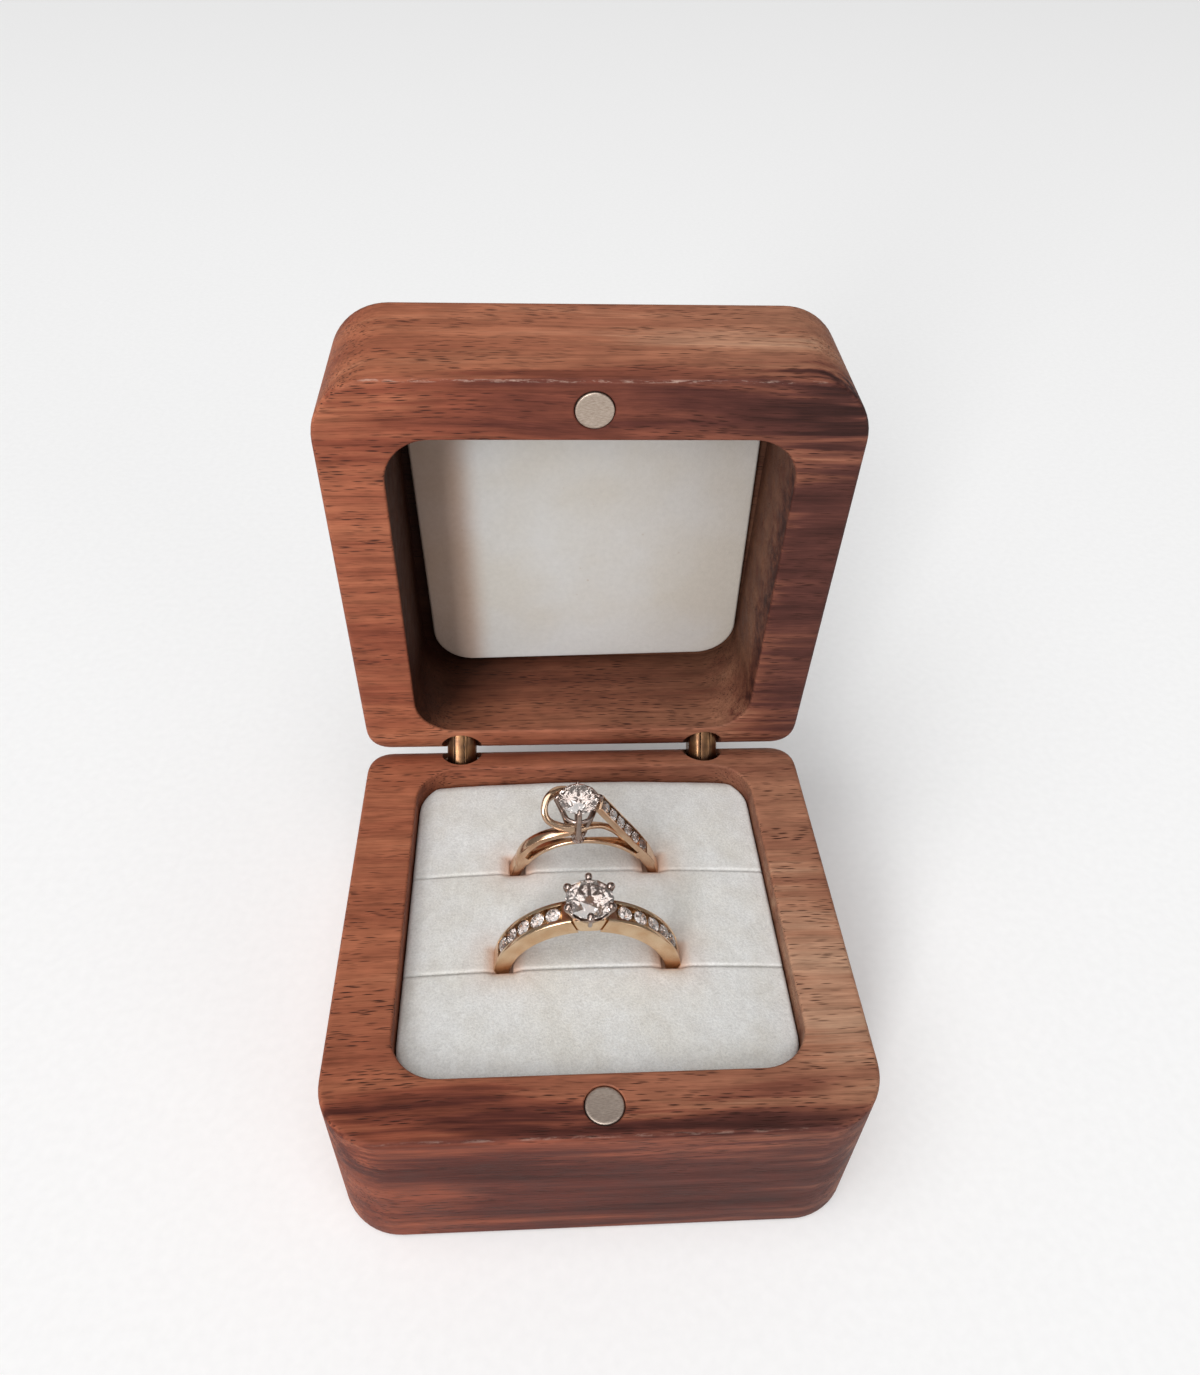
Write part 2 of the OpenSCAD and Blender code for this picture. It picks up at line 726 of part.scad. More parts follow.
module twist_head() {
    color(white_gold) translate([tw_stone_x, tw_y, 0]) {
        translate([0, 0, tw_foot_z]) cylinder(h = tw_foot_h, r = tw_foot_r);
        for (a = [0:3])
            rotate([0, 0, 90 * a])
                prong(tw_prong_r, tw_prong_z, tw_prong_at, tw_stone_z, tw_stone_z + prong_grip);
        gallery(tw_prong_r, tw_prong_z, tw_prong_at, tw_stone_z, tw_stone_z - tw_gallery_drop);
    }
}

module twist_stone() {
    color(diamond) translate([tw_stone_x, tw_y, tw_stone_z]) brilliant(tw_stone_d);
}

module twist_side_stones() {
    color(diamond) for (i = [0:arm_count - 1])
        on_arm() translate([arm_ends[0] + (i + 0.5) * arm_pitch, 0, -arm_stone_drop])
            brilliant(tw_side_d);
}

base_box();
lid_box();
base_magnet();
lid_magnet();
cushion_board();
front_roll();
middle_roll();
rear_roll();
liner_card();
liner_suede();
base_barrel(-1);  // left_base_barrel
pin(-1, base_pin_z);  // left_base_pin
outer_leaf(-1);  // left_outer_leaf
middle_leaf(-1);  // left_middle_leaf
inner_leaf(-1);  // left_inner_leaf
lid_pin(-1);  // left_lid_pin
lid_barrel(-1);  // left_lid_barrel
base_barrel(1);  // right_base_barrel
pin(1, base_pin_z);  // right_base_pin
outer_leaf(1);  // right_outer_leaf
middle_leaf(1);  // right_middle_leaf
inner_leaf(1);  // right_inner_leaf
lid_pin(1);  // right_lid_pin
lid_barrel(1);  // right_lid_barrel
solitaire_band();
solitaire_head();
solitaire_stone();
solitaire_side_stones();
twist_band();
twist_scroll();
twist_head();
twist_stone();
twist_side_stones();
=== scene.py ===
import json
import math
from functools import partial

import bpy
import numpy as np
from mathutils import Matrix, Vector

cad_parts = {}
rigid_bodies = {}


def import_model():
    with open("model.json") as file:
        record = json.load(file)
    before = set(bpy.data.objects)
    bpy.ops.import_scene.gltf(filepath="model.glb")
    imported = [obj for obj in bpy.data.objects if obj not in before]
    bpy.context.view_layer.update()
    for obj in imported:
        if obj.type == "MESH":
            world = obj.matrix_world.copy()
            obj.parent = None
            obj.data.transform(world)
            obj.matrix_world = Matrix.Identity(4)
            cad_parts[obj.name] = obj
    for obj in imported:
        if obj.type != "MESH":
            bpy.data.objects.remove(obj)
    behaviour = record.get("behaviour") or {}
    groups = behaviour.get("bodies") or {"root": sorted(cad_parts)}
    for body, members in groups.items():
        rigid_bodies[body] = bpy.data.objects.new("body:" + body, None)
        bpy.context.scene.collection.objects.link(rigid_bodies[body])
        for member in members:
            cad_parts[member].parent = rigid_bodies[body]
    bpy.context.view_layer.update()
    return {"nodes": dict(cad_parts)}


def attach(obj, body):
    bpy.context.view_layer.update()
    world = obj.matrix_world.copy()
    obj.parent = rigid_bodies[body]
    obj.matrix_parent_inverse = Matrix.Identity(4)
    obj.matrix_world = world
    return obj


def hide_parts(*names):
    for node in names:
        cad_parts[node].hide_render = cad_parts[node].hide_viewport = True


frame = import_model()
print("frame loaded with", len(frame["nodes"]), "nodes")

# The camera stands where the photograph was taken, in mm and degrees
cameraSet = {
    "place": (-6.116, -71.719, 115.879),
    "yaw": 4.33,
    "pitch": 41.94,
    "roll": 2.12,
    "lens": 30.436,
    "shiftX": 0.00562,
    "shiftY": 0.01538,
}


def makeCamera(look):
    yaw, pitch, roll = (math.radians(look[k]) for k in ("yaw", "pitch", "roll"))
    ahead = Vector((math.sin(yaw) * math.cos(pitch), math.cos(yaw) * math.cos(pitch), -math.sin(pitch)))
    level = Vector((math.cos(yaw), -math.sin(yaw), 0))
    upright = level.cross(ahead)
    right = math.cos(roll) * level + math.sin(roll) * upright
    up = math.cos(roll) * upright - math.sin(roll) * level
    turn = Matrix((right, up, -ahead)).transposed().to_4x4()
    data = bpy.data.cameras.new("camera")
    data.sensor_width = 36
    data.sensor_fit = "HORIZONTAL"
    data.lens = look["lens"]
    data.shift_x = look["shiftX"]
    data.shift_y = look["shiftY"]
    data.clip_start = 0.005
    camera = bpy.data.objects.new("camera", data)
    camera.matrix_world = Matrix.Translation(0.001 * Vector(look["place"])) @ turn
    bpy.context.scene.collection.objects.link(camera)
    bpy.context.scene.camera = camera


makeCamera(cameraSet)
print("camera placed")


def toLinear(hexColour):
    parts = [int(hexColour[i:i + 2], 16) / 255 for i in (1, 3, 5)]
    return tuple(c / 12.92 if c <= 0.04045 else ((c + 0.055) / 1.055) ** 2.4 for c in parts) + (1.0,)


# Each input is a value, a socket, or a node whose first output is taken
def feedNode(node, inputs):
    for socket, value in inputs.items():
        if isinstance(value, bpy.types.Node):
            value = value.outputs[0]
        if isinstance(value, bpy.types.NodeSocket):
            node.id_data.links.new(value, node.inputs[socket])
        else:
            node.inputs[socket].default_value = value


# Adds one node; stops are a ramp's places with a colour or a grey at each
def addNode(tree, kind, inputs, stops=(), **settings):
    node = tree.nodes.new("ShaderNode" + kind)
    for name, value in settings.items():
        setattr(node, name, value)
    feedNode(node, inputs)
    if stops:
        ramp = node.color_ramp.elements
        while len(ramp) < len(stops):
            ramp.new(1.0)
        for element, (place, colour) in zip(ramp, stops):
            element.position = place
            element.color = toLinear(colour) if isinstance(colour, str) else (colour,) * 3 + (1.0,)
    return node


def newFinish(name):
    finish = bpy.data.materials.new(name)
    finish.use_nodes = True
    finish.node_tree.nodes.clear()
    add = partial(addNode, finish.node_tree)
    shader = add("BsdfPrincipled", {})
    add("OutputMaterial", {"Surface": shader})
    return finish, shader, add


# Object coordinates in millimetres, stretched by a factor along each axis
def millimetres(add, stretch=(1, 1, 1), offset=(0, 0, 0)):
    place = add("TexCoord", {}).outputs["Object"]
    return add("Mapping", {"Vector": place, "Location": offset, "Scale": tuple(1000 * s for s in stretch)})


def placePiece(piece, body, slot, *nodes):
    bpy.context.scene.collection.objects.link(piece)
    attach(piece, body)
    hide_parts(*nodes)


# Gives a finish to a CAD node that stays
def dressNode(node, finish):
    for slot in frame["nodes"][node].material_slots:
        slot.material = finish


# Builds a mesh object from points in millimetres
def meshPiece(name, points, faces, finish, smooth=True, sharpAngle=40):
    mesh = bpy.data.meshes.new(name)
    mesh.from_pydata([(0.001 * p[0], 0.001 * p[1], 0.001 * p[2]) for p in points], [], faces)
    mesh.validate()
    mesh.polygons.foreach_set("use_smooth", [smooth] * len(mesh.polygons))
    if smooth:
        mesh.set_sharp_from_angle(angle=math.radians(sharpAngle))
    mesh.materials.append(finish)
    return bpy.data.objects.new(name, mesh)


# A loft through rows of points that each close on themselves. Its ends are
# capped, or joined to each other where it is closed.
def loftParts(rows, closed=False):
    total, count = len(rows), len(rows[0])
    faces = []
    for i in range(total if closed else total - 1):
        step = count if i < total - 1 else -i * count
        for k in range(count):
            a, b = i * count + k, i * count + (k + 1) % count
            faces.append((a, b, b + step, a + step))
    if not closed:
        faces.append(tuple(range(count - 1, -1, -1)))
        faces.append(tuple(range((total - 1) * count, total * count)))
    return [p for row in rows for p in row], faces


def lathe(profile, count):
    turns = [2 * math.pi * k / count for k in range(count)]
    return loftParts([[(r * math.cos(a), r * math.sin(a), z) for a in turns] for r, z in profile])


def roundedSquare(half, radius, cornerSteps=14, sideSteps=26):
    corners, points = [], []
    for k, (sx, sy) in enumerate([(1, 1), (-1, 1), (-1, -1), (1, -1)]):
        cx, cy = sx * (half - radius), sy * (half - radius)
        arc = [math.radians(90 * k + 90 * j / cornerSteps) for j in range(cornerSteps + 1)]
        corners.append([(cx + radius * math.cos(a), cy + radius * math.sin(a)) for a in arc])
    for k in range(4):
        points += corners[k]
        start, end = corners[k][-1], corners[(k + 1) % 4][0]
        for j in range(1, sideSteps):
            t = j / sideSteps
            points.append((start[0] + t * (end[0] - start[0]), start[1] + t * (end[1] - start[1])))
    return np.array(points)


# Leaves a piece's modifiers in its mesh, and edges over the angle sharp
def applyModifiers(piece, sharpAngle):
    bpy.context.view_layer.update()
    solid = bpy.data.meshes.new_from_object(piece.evaluated_get(bpy.context.evaluated_depsgraph_get()))
    piece.modifiers.clear()
    piece.data = solid
    solid.polygons.foreach_set("use_smooth", [True] * len(solid.polygons))
    solid.set_sharp_from_angle(angle=math.radians(sharpAngle))


def cutAway(piece, tool, sharpAngle):
    objects = bpy.context.scene.collection.objects
    objects.link(piece)
    objects.link(tool)
    cut = piece.modifiers.new("cut", "BOOLEAN")
    cut.operation, cut.solver, cut.object = "DIFFERENCE", "EXACT", tool
    applyModifiers(piece, sharpAngle)
    objects.unlink(piece)
    bpy.data.objects.remove(tool)


# Soft studio light: a tall window to the front left, a wide soft panel over
# the front, a low card to the front right and a pale room
studioSet = {
    "floor": "#f6f6f6",
    "floorHalf": 2500,
    "window": {"at": (-0.82, -1.7, 0.72), "size": (0.42, 1.1), "power": 24.0},
    "card": {"at": (1.2, -1.3, 0.6), "size": (0.8, 0.6), "power": 3.0},
    "panel": {"at": (-0.25, -0.42, 1.0), "soft": 66, "strength": 2.1},
    "air": 0.2,
}


def makeStudio(look):
    scene = bpy.context.scene
    scene.view_settings.view_transform = "Standard"
    world = bpy.data.worlds.new("studio air")
    world.use_nodes = True
    feedNode(world.node_tree.nodes["Background"], {"Color": (1, 1, 1, 1), "Strength": look["air"]})
    scene.world = world
    for name in ("window", "card", "panel"):
        place = Vector(look[name]["at"])
        data = bpy.data.lights.new(name, "AREA" if "size" in look[name] else "SUN")
        if data.type == "AREA":
            data.shape = "RECTANGLE"
            data.size, data.size_y = look[name]["size"]
            data.energy = look[name]["power"]
        else:
            data.angle = math.radians(look[name]["soft"])
            data.energy = look[name]["strength"]
        light = bpy.data.objects.new(name, data)
        light.matrix_world = Matrix.Translation(place) @ place.to_track_quat("Z", "Y").to_matrix().to_4x4()
        scene.collection.objects.link(light)
    finish, shader, add = newFinish("white paper floor")  # matt, with a faint tooth
    grain = add("TexNoise", {"Vector": millimetres(add), "Scale": 0.8, "Detail": 3.0})
    shade = add("ValToRGB", {"Fac": grain}, stops=[(0.3, "#f3f3f3"), (0.7, look["floor"])])
    feedNode(shader, {"Base Color": shade, "Roughness": 0.9, "Specular IOR Level": 0.1})
    far = look["floorHalf"]
    corners = [(-far, -far, 0), (far, -far, 0), (far, far, 0), (-far, far, 0)]
    floor = meshPiece("floor", corners, [(0, 1, 2, 3)], finish, smooth=False)
    scene.collection.objects.link(floor)


makeStudio(studioSet)
print("studio lit")

# Walnut, sanded and oiled: a satin reddish brown with dark figure and short
# pores that all run from left to right
boxSet = {
    "half": 28.0,
    "corner": 7.0,
    "cavityHalf": 21.3,
    "cavityCorner": 5.0,
    "baseHeight": 21.4,
    "baseCavity": 18.0,
    "lidHeight": 16.8,
    "lidCavity": 14.2,
    "backRound": 6.3,
    "outerEase": 0.55,
    "innerEase": 0.3,
    "footEase": 0.8,
    "holeX": 16.0,
    "holeY": 24.65,
    "holeRadius": 2.6,
    "holeDepth": 9.6,
    "holeFlare": 0.12,
    "magnetY": -24.65,
    "magnetHole": 2.05,
    "baseMagnetDepth": 2.12,
    "lidMagnetDepth": 1.95,
    "pinY": 23.91,
    "pinZ": 19.4,
    "link": 4.2,
    "shutZ": 21.6,
    "leafSwing": 36.722,
    "lidSwing": 49.278,
}

# Patches of the figure, and one of painted shade in each table: a centre and a reach in mm from the middle of
# the rim, a slope in degrees, and how much darker (or paler, below 0) the wood is there
baseFigureAndShade = {
    "offset": (3.0, 11.0, 40.0),
    "patches": [
        ((-15, -25.4, -0.3), (18, 2.6, 2.0), -3, 0.26),
        ((20, -23.0, -0.5), (16, 1.4, 2.4), 7, 0.2),
        ((19, -26.6, -0.6), (18, 2.2, 2.2), 2, 0.16),
        ((9, -25.2, 0), (9, 1.3, 2), 6, -0.2),
        ((24, -10, 0), (9, 20, 5), 8, -0.2),
        # Painted shade: the whole front face darker, as less light falls on it
        ((0, -28.5, -12), (70, 5.5, 20), 0, 0.36),
        ((10, -28, -15), (18, 4, 4.4), -4, 0.1),
        ((-12, -28, -6), (16, 4, 3), 4, 0.1),
        ((20, 26, 0), (14, 3, 8), 0, -0.1),
        ((-20, -28, -13), (9, 6, 8), 0, -0.12),
    ],
    "chips": 0.2,
    # Painted shade inside the cavity: how dark it is overall, on the left and on the side walls, and how deep
    # it reaches
    "cavity": 0.88,
    "cavityLeftShade": 0.84,
    "sideWallShade": 0.88,
    "cavityEnd": 19.6,
}

lidFigureAndShade = {
    "offset": (57.0, 90.0, 12.0),
    "patches": [
        ((3, -24.6, 0), (36, 7, 3.6), 0, 0.28),
        ((16, -26, 0), (14, 2.6, 2), 0, 0.08),
        # Painted shade: the lid's right side darker, away from the light on the left
        ((27, -2, 0), (10, 38, 6), 0, 0.36),
        ((0, -29, 9), (40, 4, 8), 0, -0.08),
        ((14, -29, 9), (14, 3, 4), 0, -0.12),
        ((-24, 4, 0), (9, 26, 6), 0, 0.06),
        ((6, 26, 0), (20, 3, 4), 0, 0.18),
        ((-21, -25, 0), (12, 4, 4), 0, -0.14),
        ((22, -24.5, 0), (10, 4, 4), 0, 0.16),
        ((-21, 24, 0), (9, 5, 4), 0, -0.14),
    ],
    "chips": 0.5,
    # Painted shade inside the cavity: how dark it is overall, on the left and on the side walls, and how deep
    # it reaches
    "cavity": 0.7,
    "cavityLeftShade": 0.17,
    "sideWallShade": 0.88,
    "cavityEnd": 15.4,
}


def walnutFinish(name, look):
    finish, shader, add = newFinish(name)
    # The figure wanders this many mm off straight
    sway, offset = 4.4, look["offset"]
    across = millimetres(add, (0.015, 0.07, 0.07), offset)
    across = add("TexNoise", {"Vector": across, "Scale": 1.0, "Detail": 2.0}).outputs["Color"]
    bend = add("VectorMath", {0: across, 1: (0.0, sway, sway)}, operation="MULTIPLY")
    grain = add("VectorMath", {0: millimetres(add, offset=offset), 1: bend}, operation="ADD")
    local = add("VectorMath", {0: grain, 1: tuple(-c for c in offset)}, operation="ADD")
    local = add("VectorMath", {0: local, 1: (0.0, -sway / 2, -sway / 2)}, operation="ADD")

    def streaks(along, width, detail, rough=0.55):
        place = add("Mapping", {"Vector": grain, "Scale": (1 / along, 1 / width, 1 / width)})
        return add("TexNoise", {"Vector": place, "Scale": 1.0, "Detail": detail, "Roughness": rough})

    broad, fine, fibre = streaks(60, 3.6, 5.0, 0.66), streaks(24, 0.5, 5.0, 0.76), streaks(7, 0.13, 2.0)
    edge = add("MapRange", {"Value": streaks(22, 1.1, 3.0), "From Min": 0.3, "From Max": 0.7,
                            "To Min": -0.3, "To Max": 0.3})
    dark = add("MapRange", {"Value": broad, "From Min": 0.3, "From Max": 0.7, "To Min": 0.45, "To Max": 0.17})
    for (x, y, z), (rx, ry, rz), slope, amount in look["patches"]:
        near = add("VectorMath", {0: local, 1: (-x, -y, -z)}, operation="ADD")
        near = add("Mapping", {"Vector": near, "Rotation": (0, 0, -math.radians(slope))})
        near = add("Mapping", {"Vector": near, "Scale": (1 / rx, 1 / ry, 1 / rz)})
        away = add("VectorMath", {0: near}, operation="LENGTH").outputs["Value"]
        away = add("Math", {0: away, 1: edge}, operation="ADD")
        share = add("MapRange", {"Value": away, "From Min": 1.15, "From Max": 0.35, "To Max": amount},
                    interpolation_type="SMOOTHSTEP")
        dark = add("Math", {0: dark, 1: share}, operation="ADD")
    tone = add("ValToRGB", {"Fac": dark}, stops=[
        (0.0, "#bc8e74"), (0.22, "#a36d55"), (0.45, "#804c3c"), (0.68, "#56302a"), (0.9, "#381f1c")])
    # Warmer towards the left and tan towards the right, then lines, hairs and clouds
    place = add("SeparateXYZ", {0: millimetres(add)})
    side = add("MapRange", {"Value": place, "From Min": -24.0, "From Max": 24.0})
    tint = add("ValToRGB", {"Fac": side}, stops=[(0.0, "#ffe9dc"), (0.5, "#fbf0ea"), (1.0, "#f6ffff")])
    lines = add("ValToRGB", {"Fac": fine}, stops=[(0.3, 0.55), (0.46, 0.95), (0.7, 1.14)])
    hairs = add("ValToRGB", {"Fac": fibre}, stops=[(0.28, 0.72), (0.6, 1.1)])
    blotch = add("TexNoise", {"Vector": millimetres(add, (0.5, 1, 1)), "Scale": 0.55, "Detail": 3.0})
    cloud = add("ValToRGB", {"Fac": blotch}, stops=[(0.35, 0.88), (0.65, 1.1)])
    for layer, share in ((tint, 1.0), (lines, 0.9), (hairs, 0.65), (cloud, 1.0)):
        tone = add("MixRGB", {"Fac": share, "Color1": tone, "Color2": layer}, blend_type="MULTIPLY")
    # Pores 2.4 mm long and 0.24 mm wide, wider than real ones so that they show
    cells = add("Mapping", {"Vector": grain, "Scale": (1 / 2.4, 1 / 0.24, 1 / 0.24)})
    cells = add("TexVoronoi", {"Vector": cells, "Scale": 1.0})
    pores = add("ValToRGB", {"Fac": cells.outputs["Distance"]}, stops=[(0.16, 1.0), (0.36, 0.0)])
    patch = add("ValToRGB", {"Fac": streaks(16, 3.2, 3.0)}, stops=[(0.42, 0.2), (0.56, 1.0)])
    pores = add("Math", {0: pores, 1: patch}, operation="MULTIPLY")
    tone = add("MixRGB", {"Fac": pores, "Color1": tone, "Color2": toLinear("#3a201a")})
    # Small pale chips where the front rim edge has been knocked
    rim = add("VectorMath", {0: millimetres(add), 1: (0, boxSet["half"] - 0.2, 0)}, operation="ADD")
    rim = add("VectorMath", {0: rim, 1: (0, 1, 1)}, operation="MULTIPLY")
    rim = add("VectorMath", {0: rim}, operation="LENGTH").outputs["Value"]
    rim = add("MapRange", {"Value": rim, "From Min": 0.24, "From Max": 0.1})
    worn = millimetres(add, (0.4, 2.0, 2.0))
    worn = add("TexNoise", {"Vector": worn, "Scale": 1.0, "Detail": 5.0, "Roughness": 0.75})
    worn = add("MapRange", {"Value": worn, "From Min": 0.5, "From Max": 0.62, "To Max": look["chips"]})
    chip = add("Math", {0: rim, 1: worn}, operation="MULTIPLY")
    tone = add("MixRGB", {"Fac": chip, "Color1": tone, "Color2": toLinear("#cdb3a4")})
    # Painted shade: the cavity's walls are darker, most of all on the left and deeper down, where the box's
    # own walls shadow them
    hole = boxSet["cavityHalf"]
    size = add("SeparateXYZ", {0: add("VectorMath", {0: millimetres(add)}, operation="ABSOLUTE")})
    inside = add("Math", {0: size, 1: size.outputs[1]}, operation="MAXIMUM")
    inside = add("MapRange", {"Value": inside, "From Min": hole + 0.32, "From Max": hole + 0.1})
    sunk, floor = size.outputs[2], look["cavityEnd"]
    below = add("MapRange", {"Value": sunk, "From Min": 0.02, "From Max": 0.35})
    above = add("MapRange", {"Value": sunk, "From Min": floor, "From Max": floor - 0.2})
    for limit in (below, above):
        inside = add("Math", {0: inside, 1: limit}, operation="MULTIPLY")
    slant = add("Math", {0: sunk, 1: -0.5, 2: place}, operation="MULTIPLY_ADD")
    cavityShade = add("MapRange", {"Value": slant, "From Min": -11.0, "From Max": -20.5,
                            "To Min": look["cavity"], "To Max": look["cavityLeftShade"]})
    wall = add("MapRange", {"Value": place, "From Min": hole - 0.9, "From Max": hole - 0.05,
                            "To Min": 1.0, "To Max": look["sideWallShade"]})
    deep = add("MapRange", {"Value": sunk, "From Min": 4.0, "From Max": 14.0, "To Min": 1.0, "To Max": 0.55})
    for part in (wall, deep, inside):
        cavityShade = add("Math", {0: cavityShade, 1: part}, operation="MULTIPLY")
    around = add("Math", {0: 1.0, 1: inside}, operation="SUBTRACT")
    shade = add("Math", {0: cavityShade, 1: around}, operation="ADD")
    tone = add("MixRGB", {"Fac": 1.0, "Color1": tone, "Color2": shade}, blend_type="MULTIPLY")
    rough = add("MapRange", {"Value": blotch, "From Min": 0.3, "From Max": 0.7,
                             "To Min": 0.52, "To Max": 0.66})
    relief = add("Math", {0: fibre, 1: 0.35, 2: pores}, operation="MULTIPLY_ADD")
    bump = add("Bump", {"Height": relief, "Strength": 0.45, "Distance": 0.00006}, invert=True)
    feedNode(shader, {"Base Color": tone, "Roughness": rough, "Normal": bump, "Specular IOR Level": 0.1})
    return finish


baseWalnut = walnutFinish("oiled walnut base", baseFigureAndShade)
lidWalnut = walnutFinish("oiled walnut lid", lidFigureAndShade)


# How far the rim rolls down towards the hinges
def rimDrop(y, look):
    s = max(0.0, y - (look["half"] - look["backRound"]))
    return look["backRound"] - math.sqrt(max(0.0, look["backRound"] ** 2 - s * s))


# One half of the box with its rim at z = 0 and its body below
def boxHalf(name, height, cavity, finish, look):
    half, corner, hole, holeCorner = look["half"], look["corner"], look["cavityHalf"], look["cavityCorner"]
    foot, ease, lip = look["footEase"], look["outerEase"], look["innerEase"]
    rows = []

    def outer(inset):
        return roundedSquare(half - inset, corner - inset)

    def inner(outset):
        return roundedSquare(hole + outset, holeCorner + outset)

    def row(outline, heightOf):
        rows.append([(x, y, heightOf(x, y)) for x, y in outline])

    # Up the outside
    for k in range(6):
        a = math.radians(90 * k / 5)
        row(outer(foot * (1 - math.sin(a))), lambda x, y: -height + foot * (1 - math.cos(a)))
    low = -height + foot
    for k in range(1, 9):
        row(outer(0), lambda x, y: low + k / 8 * (-rimDrop(y, look) - ease - low))
    for k in range(1, 7):
        a = math.radians(90 * k / 6)
        row(outer(ease * (1 - math.cos(a))), lambda x, y: -rimDrop(y, look) - ease * (1 - math.sin(a)))
    # Across the rim, with the rows closer where it rolls down, then down the cavity
    steps, reach = 18, math.radians(68)
    near, far = outer(ease), inner(lip)
    for k in range(1, steps + 1):
        t = 1 - math.sin(reach * (1 - k / steps)) / math.sin(reach)
        row(near + t * (far - near), lambda x, y: -rimDrop(y, look))
    for k in range(1, 5):
        a = math.radians(90 * k / 4)
        row(inner(lip * (1 - math.sin(a))), lambda x, y: -lip * (1 - math.cos(a)))
    for k in range(1, 7):
        row(inner(0), lambda x, y: -lip - (cavity - lip) * k / 6)
    return meshPiece(name, *loftParts(rows), finish)


# Round holes down from the rim: a place, a depth, a radius and a flared mouth
def cutHoles(piece, holes):
    above = 3.0
    for x, y, depth, radius, flare in holes:
        profile = [(radius, -depth), (radius, -flare), (radius + flare, 0.0), (radius + flare, above)]
        points, faces = lathe(profile, 72)
        points = [(x + px, y + py, z) for px, py, z in points]
        cutAway(piece, meshPiece("drill", points, faces, piece.data.materials[0], smooth=False), 35)


def turnAbout(y, z, degrees):
    centre = Vector((0, 0.001 * y, 0.001 * z))
    turn = Matrix.Rotation(math.radians(degrees), 4, "X")
    return Matrix.Translation(centre) @ turn @ Matrix.Translation(-centre)


# Moves what is drawn shut to where it is on the open lid
lidOpen = (turnAbout(boxSet["pinY"], boxSet["pinZ"], -boxSet["leafSwing"])
           @ turnAbout(boxSet["pinY"], boxSet["pinZ"] + boxSet["link"], -boxSet["lidSwing"]))


def makeBox(look):
    x, y = look["holeX"], look["holeY"]
    drills = [(side * x, y, look["holeDepth"], look["holeRadius"], 0.0) for side in (-1, 1)]
    halves = {}
    for side, finish in (("base", baseWalnut), ("lid", lidWalnut)):
        piece = boxHalf("walnut_" + side, look[side + "Height"], look[side + "Cavity"], finish, look)
        seat = (0, look["magnetY"], look[side + "MagnetDepth"], look["magnetHole"], look["holeFlare"])
        cutHoles(piece, drills + [seat])
        halves[side] = piece
    base, lid = halves["base"], halves["lid"]
    base.matrix_world = Matrix.Translation((0, 0, 0.001 * look["baseHeight"]))
    placePiece(base, "base", "walnut", "base_box")
    lid.data.transform(Matrix.Scale(-1, 4, (0, 0, 1)))
    lid.data.flip_normals()
    lid.matrix_world = lidOpen @ Matrix.Translation((0, 0, 0.001 * look["shutZ"]))
    placePiece(lid, "lid", "walnut", "lid_box")


makeBox(boxSet)
print("walnut halves made")

# The cushion: three foam rolls in off-white velvet, glued side by side. Cloth
# ends tuck down into the slots, and dip where a ring's shank goes in.
cushionSet = {
    "pile": "#dcdcda",
    # Colour of the painted shadow and reflection round the rings' shanks
    "paintedRingShade": "#b88c70",
    "half": 21.15,
    "corner": 4.85,
    "floor": 4.4,
    "crown": 19.8,
    "endFall": 0.9,
    "slotEdge": 0.38,
    "wallEdge": 0.5,
    "hingeEdge": 2.0,
    "frontSlot": -8.0,
    "rearSlot": 5.5,
    "slotGap": 0.06,
    "feet": [(-10.9, -9.15, -7.95, -5.2), (7.55, 9.3, -7.95, -5.2),  # shanks: left, right, front, back
             (-9.5, -7.75, 5.55, 7.75), (6.55, 8.3, 5.55, 7.75)],
    "steps": (200, 64),
}


def velvetFinish(look):
    finish, shader, add = newFinish("cut pile velvet")  # matt, with a soft bright rim
    pile = add("TexNoise", {"Vector": millimetres(add), "Scale": 3.6, "Detail": 4.0, "Roughness": 0.75})
    nap = add("TexNoise", {"Vector": millimetres(add), "Scale": 0.16, "Detail": 3.0})
    fluff = millimetres(add, (1, 0.7, 1))
    fluff = add("TexNoise", {"Vector": fluff, "Scale": 0.85, "Detail": 4.0, "Roughness": 0.65})
    tone = add("ValToRGB", {"Fac": pile}, stops=[(0.3, 0.82), (0.62, 1.05)])
    tuft = add("ValToRGB", {"Fac": fluff}, stops=[(0.34, "#f6f5f4"), (0.62, "#ffffff")])
    cloud = add("ValToRGB", {"Fac": nap}, stops=[(0.36, "#f9f7f3"), (0.6, "#ffffff")])
    for layer in (tuft, cloud, toLinear(look["pile"])):
        tone = add("MixRGB", {"Fac": 1.0, "Color1": tone, "Color2": layer}, blend_type="MULTIPLY")
    # Painted shadow and painted reflection: warm brown on the pile round the rings' shanks, for their shade
    # and their gold's light thrown onto it
    ringShadeAndGleam = add("Attribute", {}, attribute_name="ringShadowAndReflection").outputs["Fac"]
    tone = add("MixRGB", {"Fac": ringShadeAndGleam, "Color1": tone, "Color2": toLinear(look["paintedRingShade"])})
    height = add("Math", {0: fluff, 1: 0.9, 2: pile}, operation="MULTIPLY_ADD")
    bump = add("Bump", {"Height": height, "Strength": 0.6, "Distance": 0.00014})
    feedNode(shader, {"Base Color": tone, "Normal": bump, "Roughness": 0.95, "Specular IOR Level": 0.2,
                      "Sheen Weight": 0.25, "Sheen Roughness": 0.4})
    return finish


velvet = velvetFinish(cushionSet)


# How far a rounded edge has fallen at a distance from its end
def fall(distance, radius):
    inside = np.clip(radius - distance, 0, radius)
    return radius - np.sqrt(radius ** 2 - inside ** 2)


# How far inside the cushion's rounded square a place is
def wallDistance(x, y, look):
    straight = look["half"] - look["corner"]
    overX, overY = np.maximum(np.abs(x) - straight, 0), np.maximum(np.abs(y) - straight, 0)
    return look["corner"] - np.hypot(overX, overY)
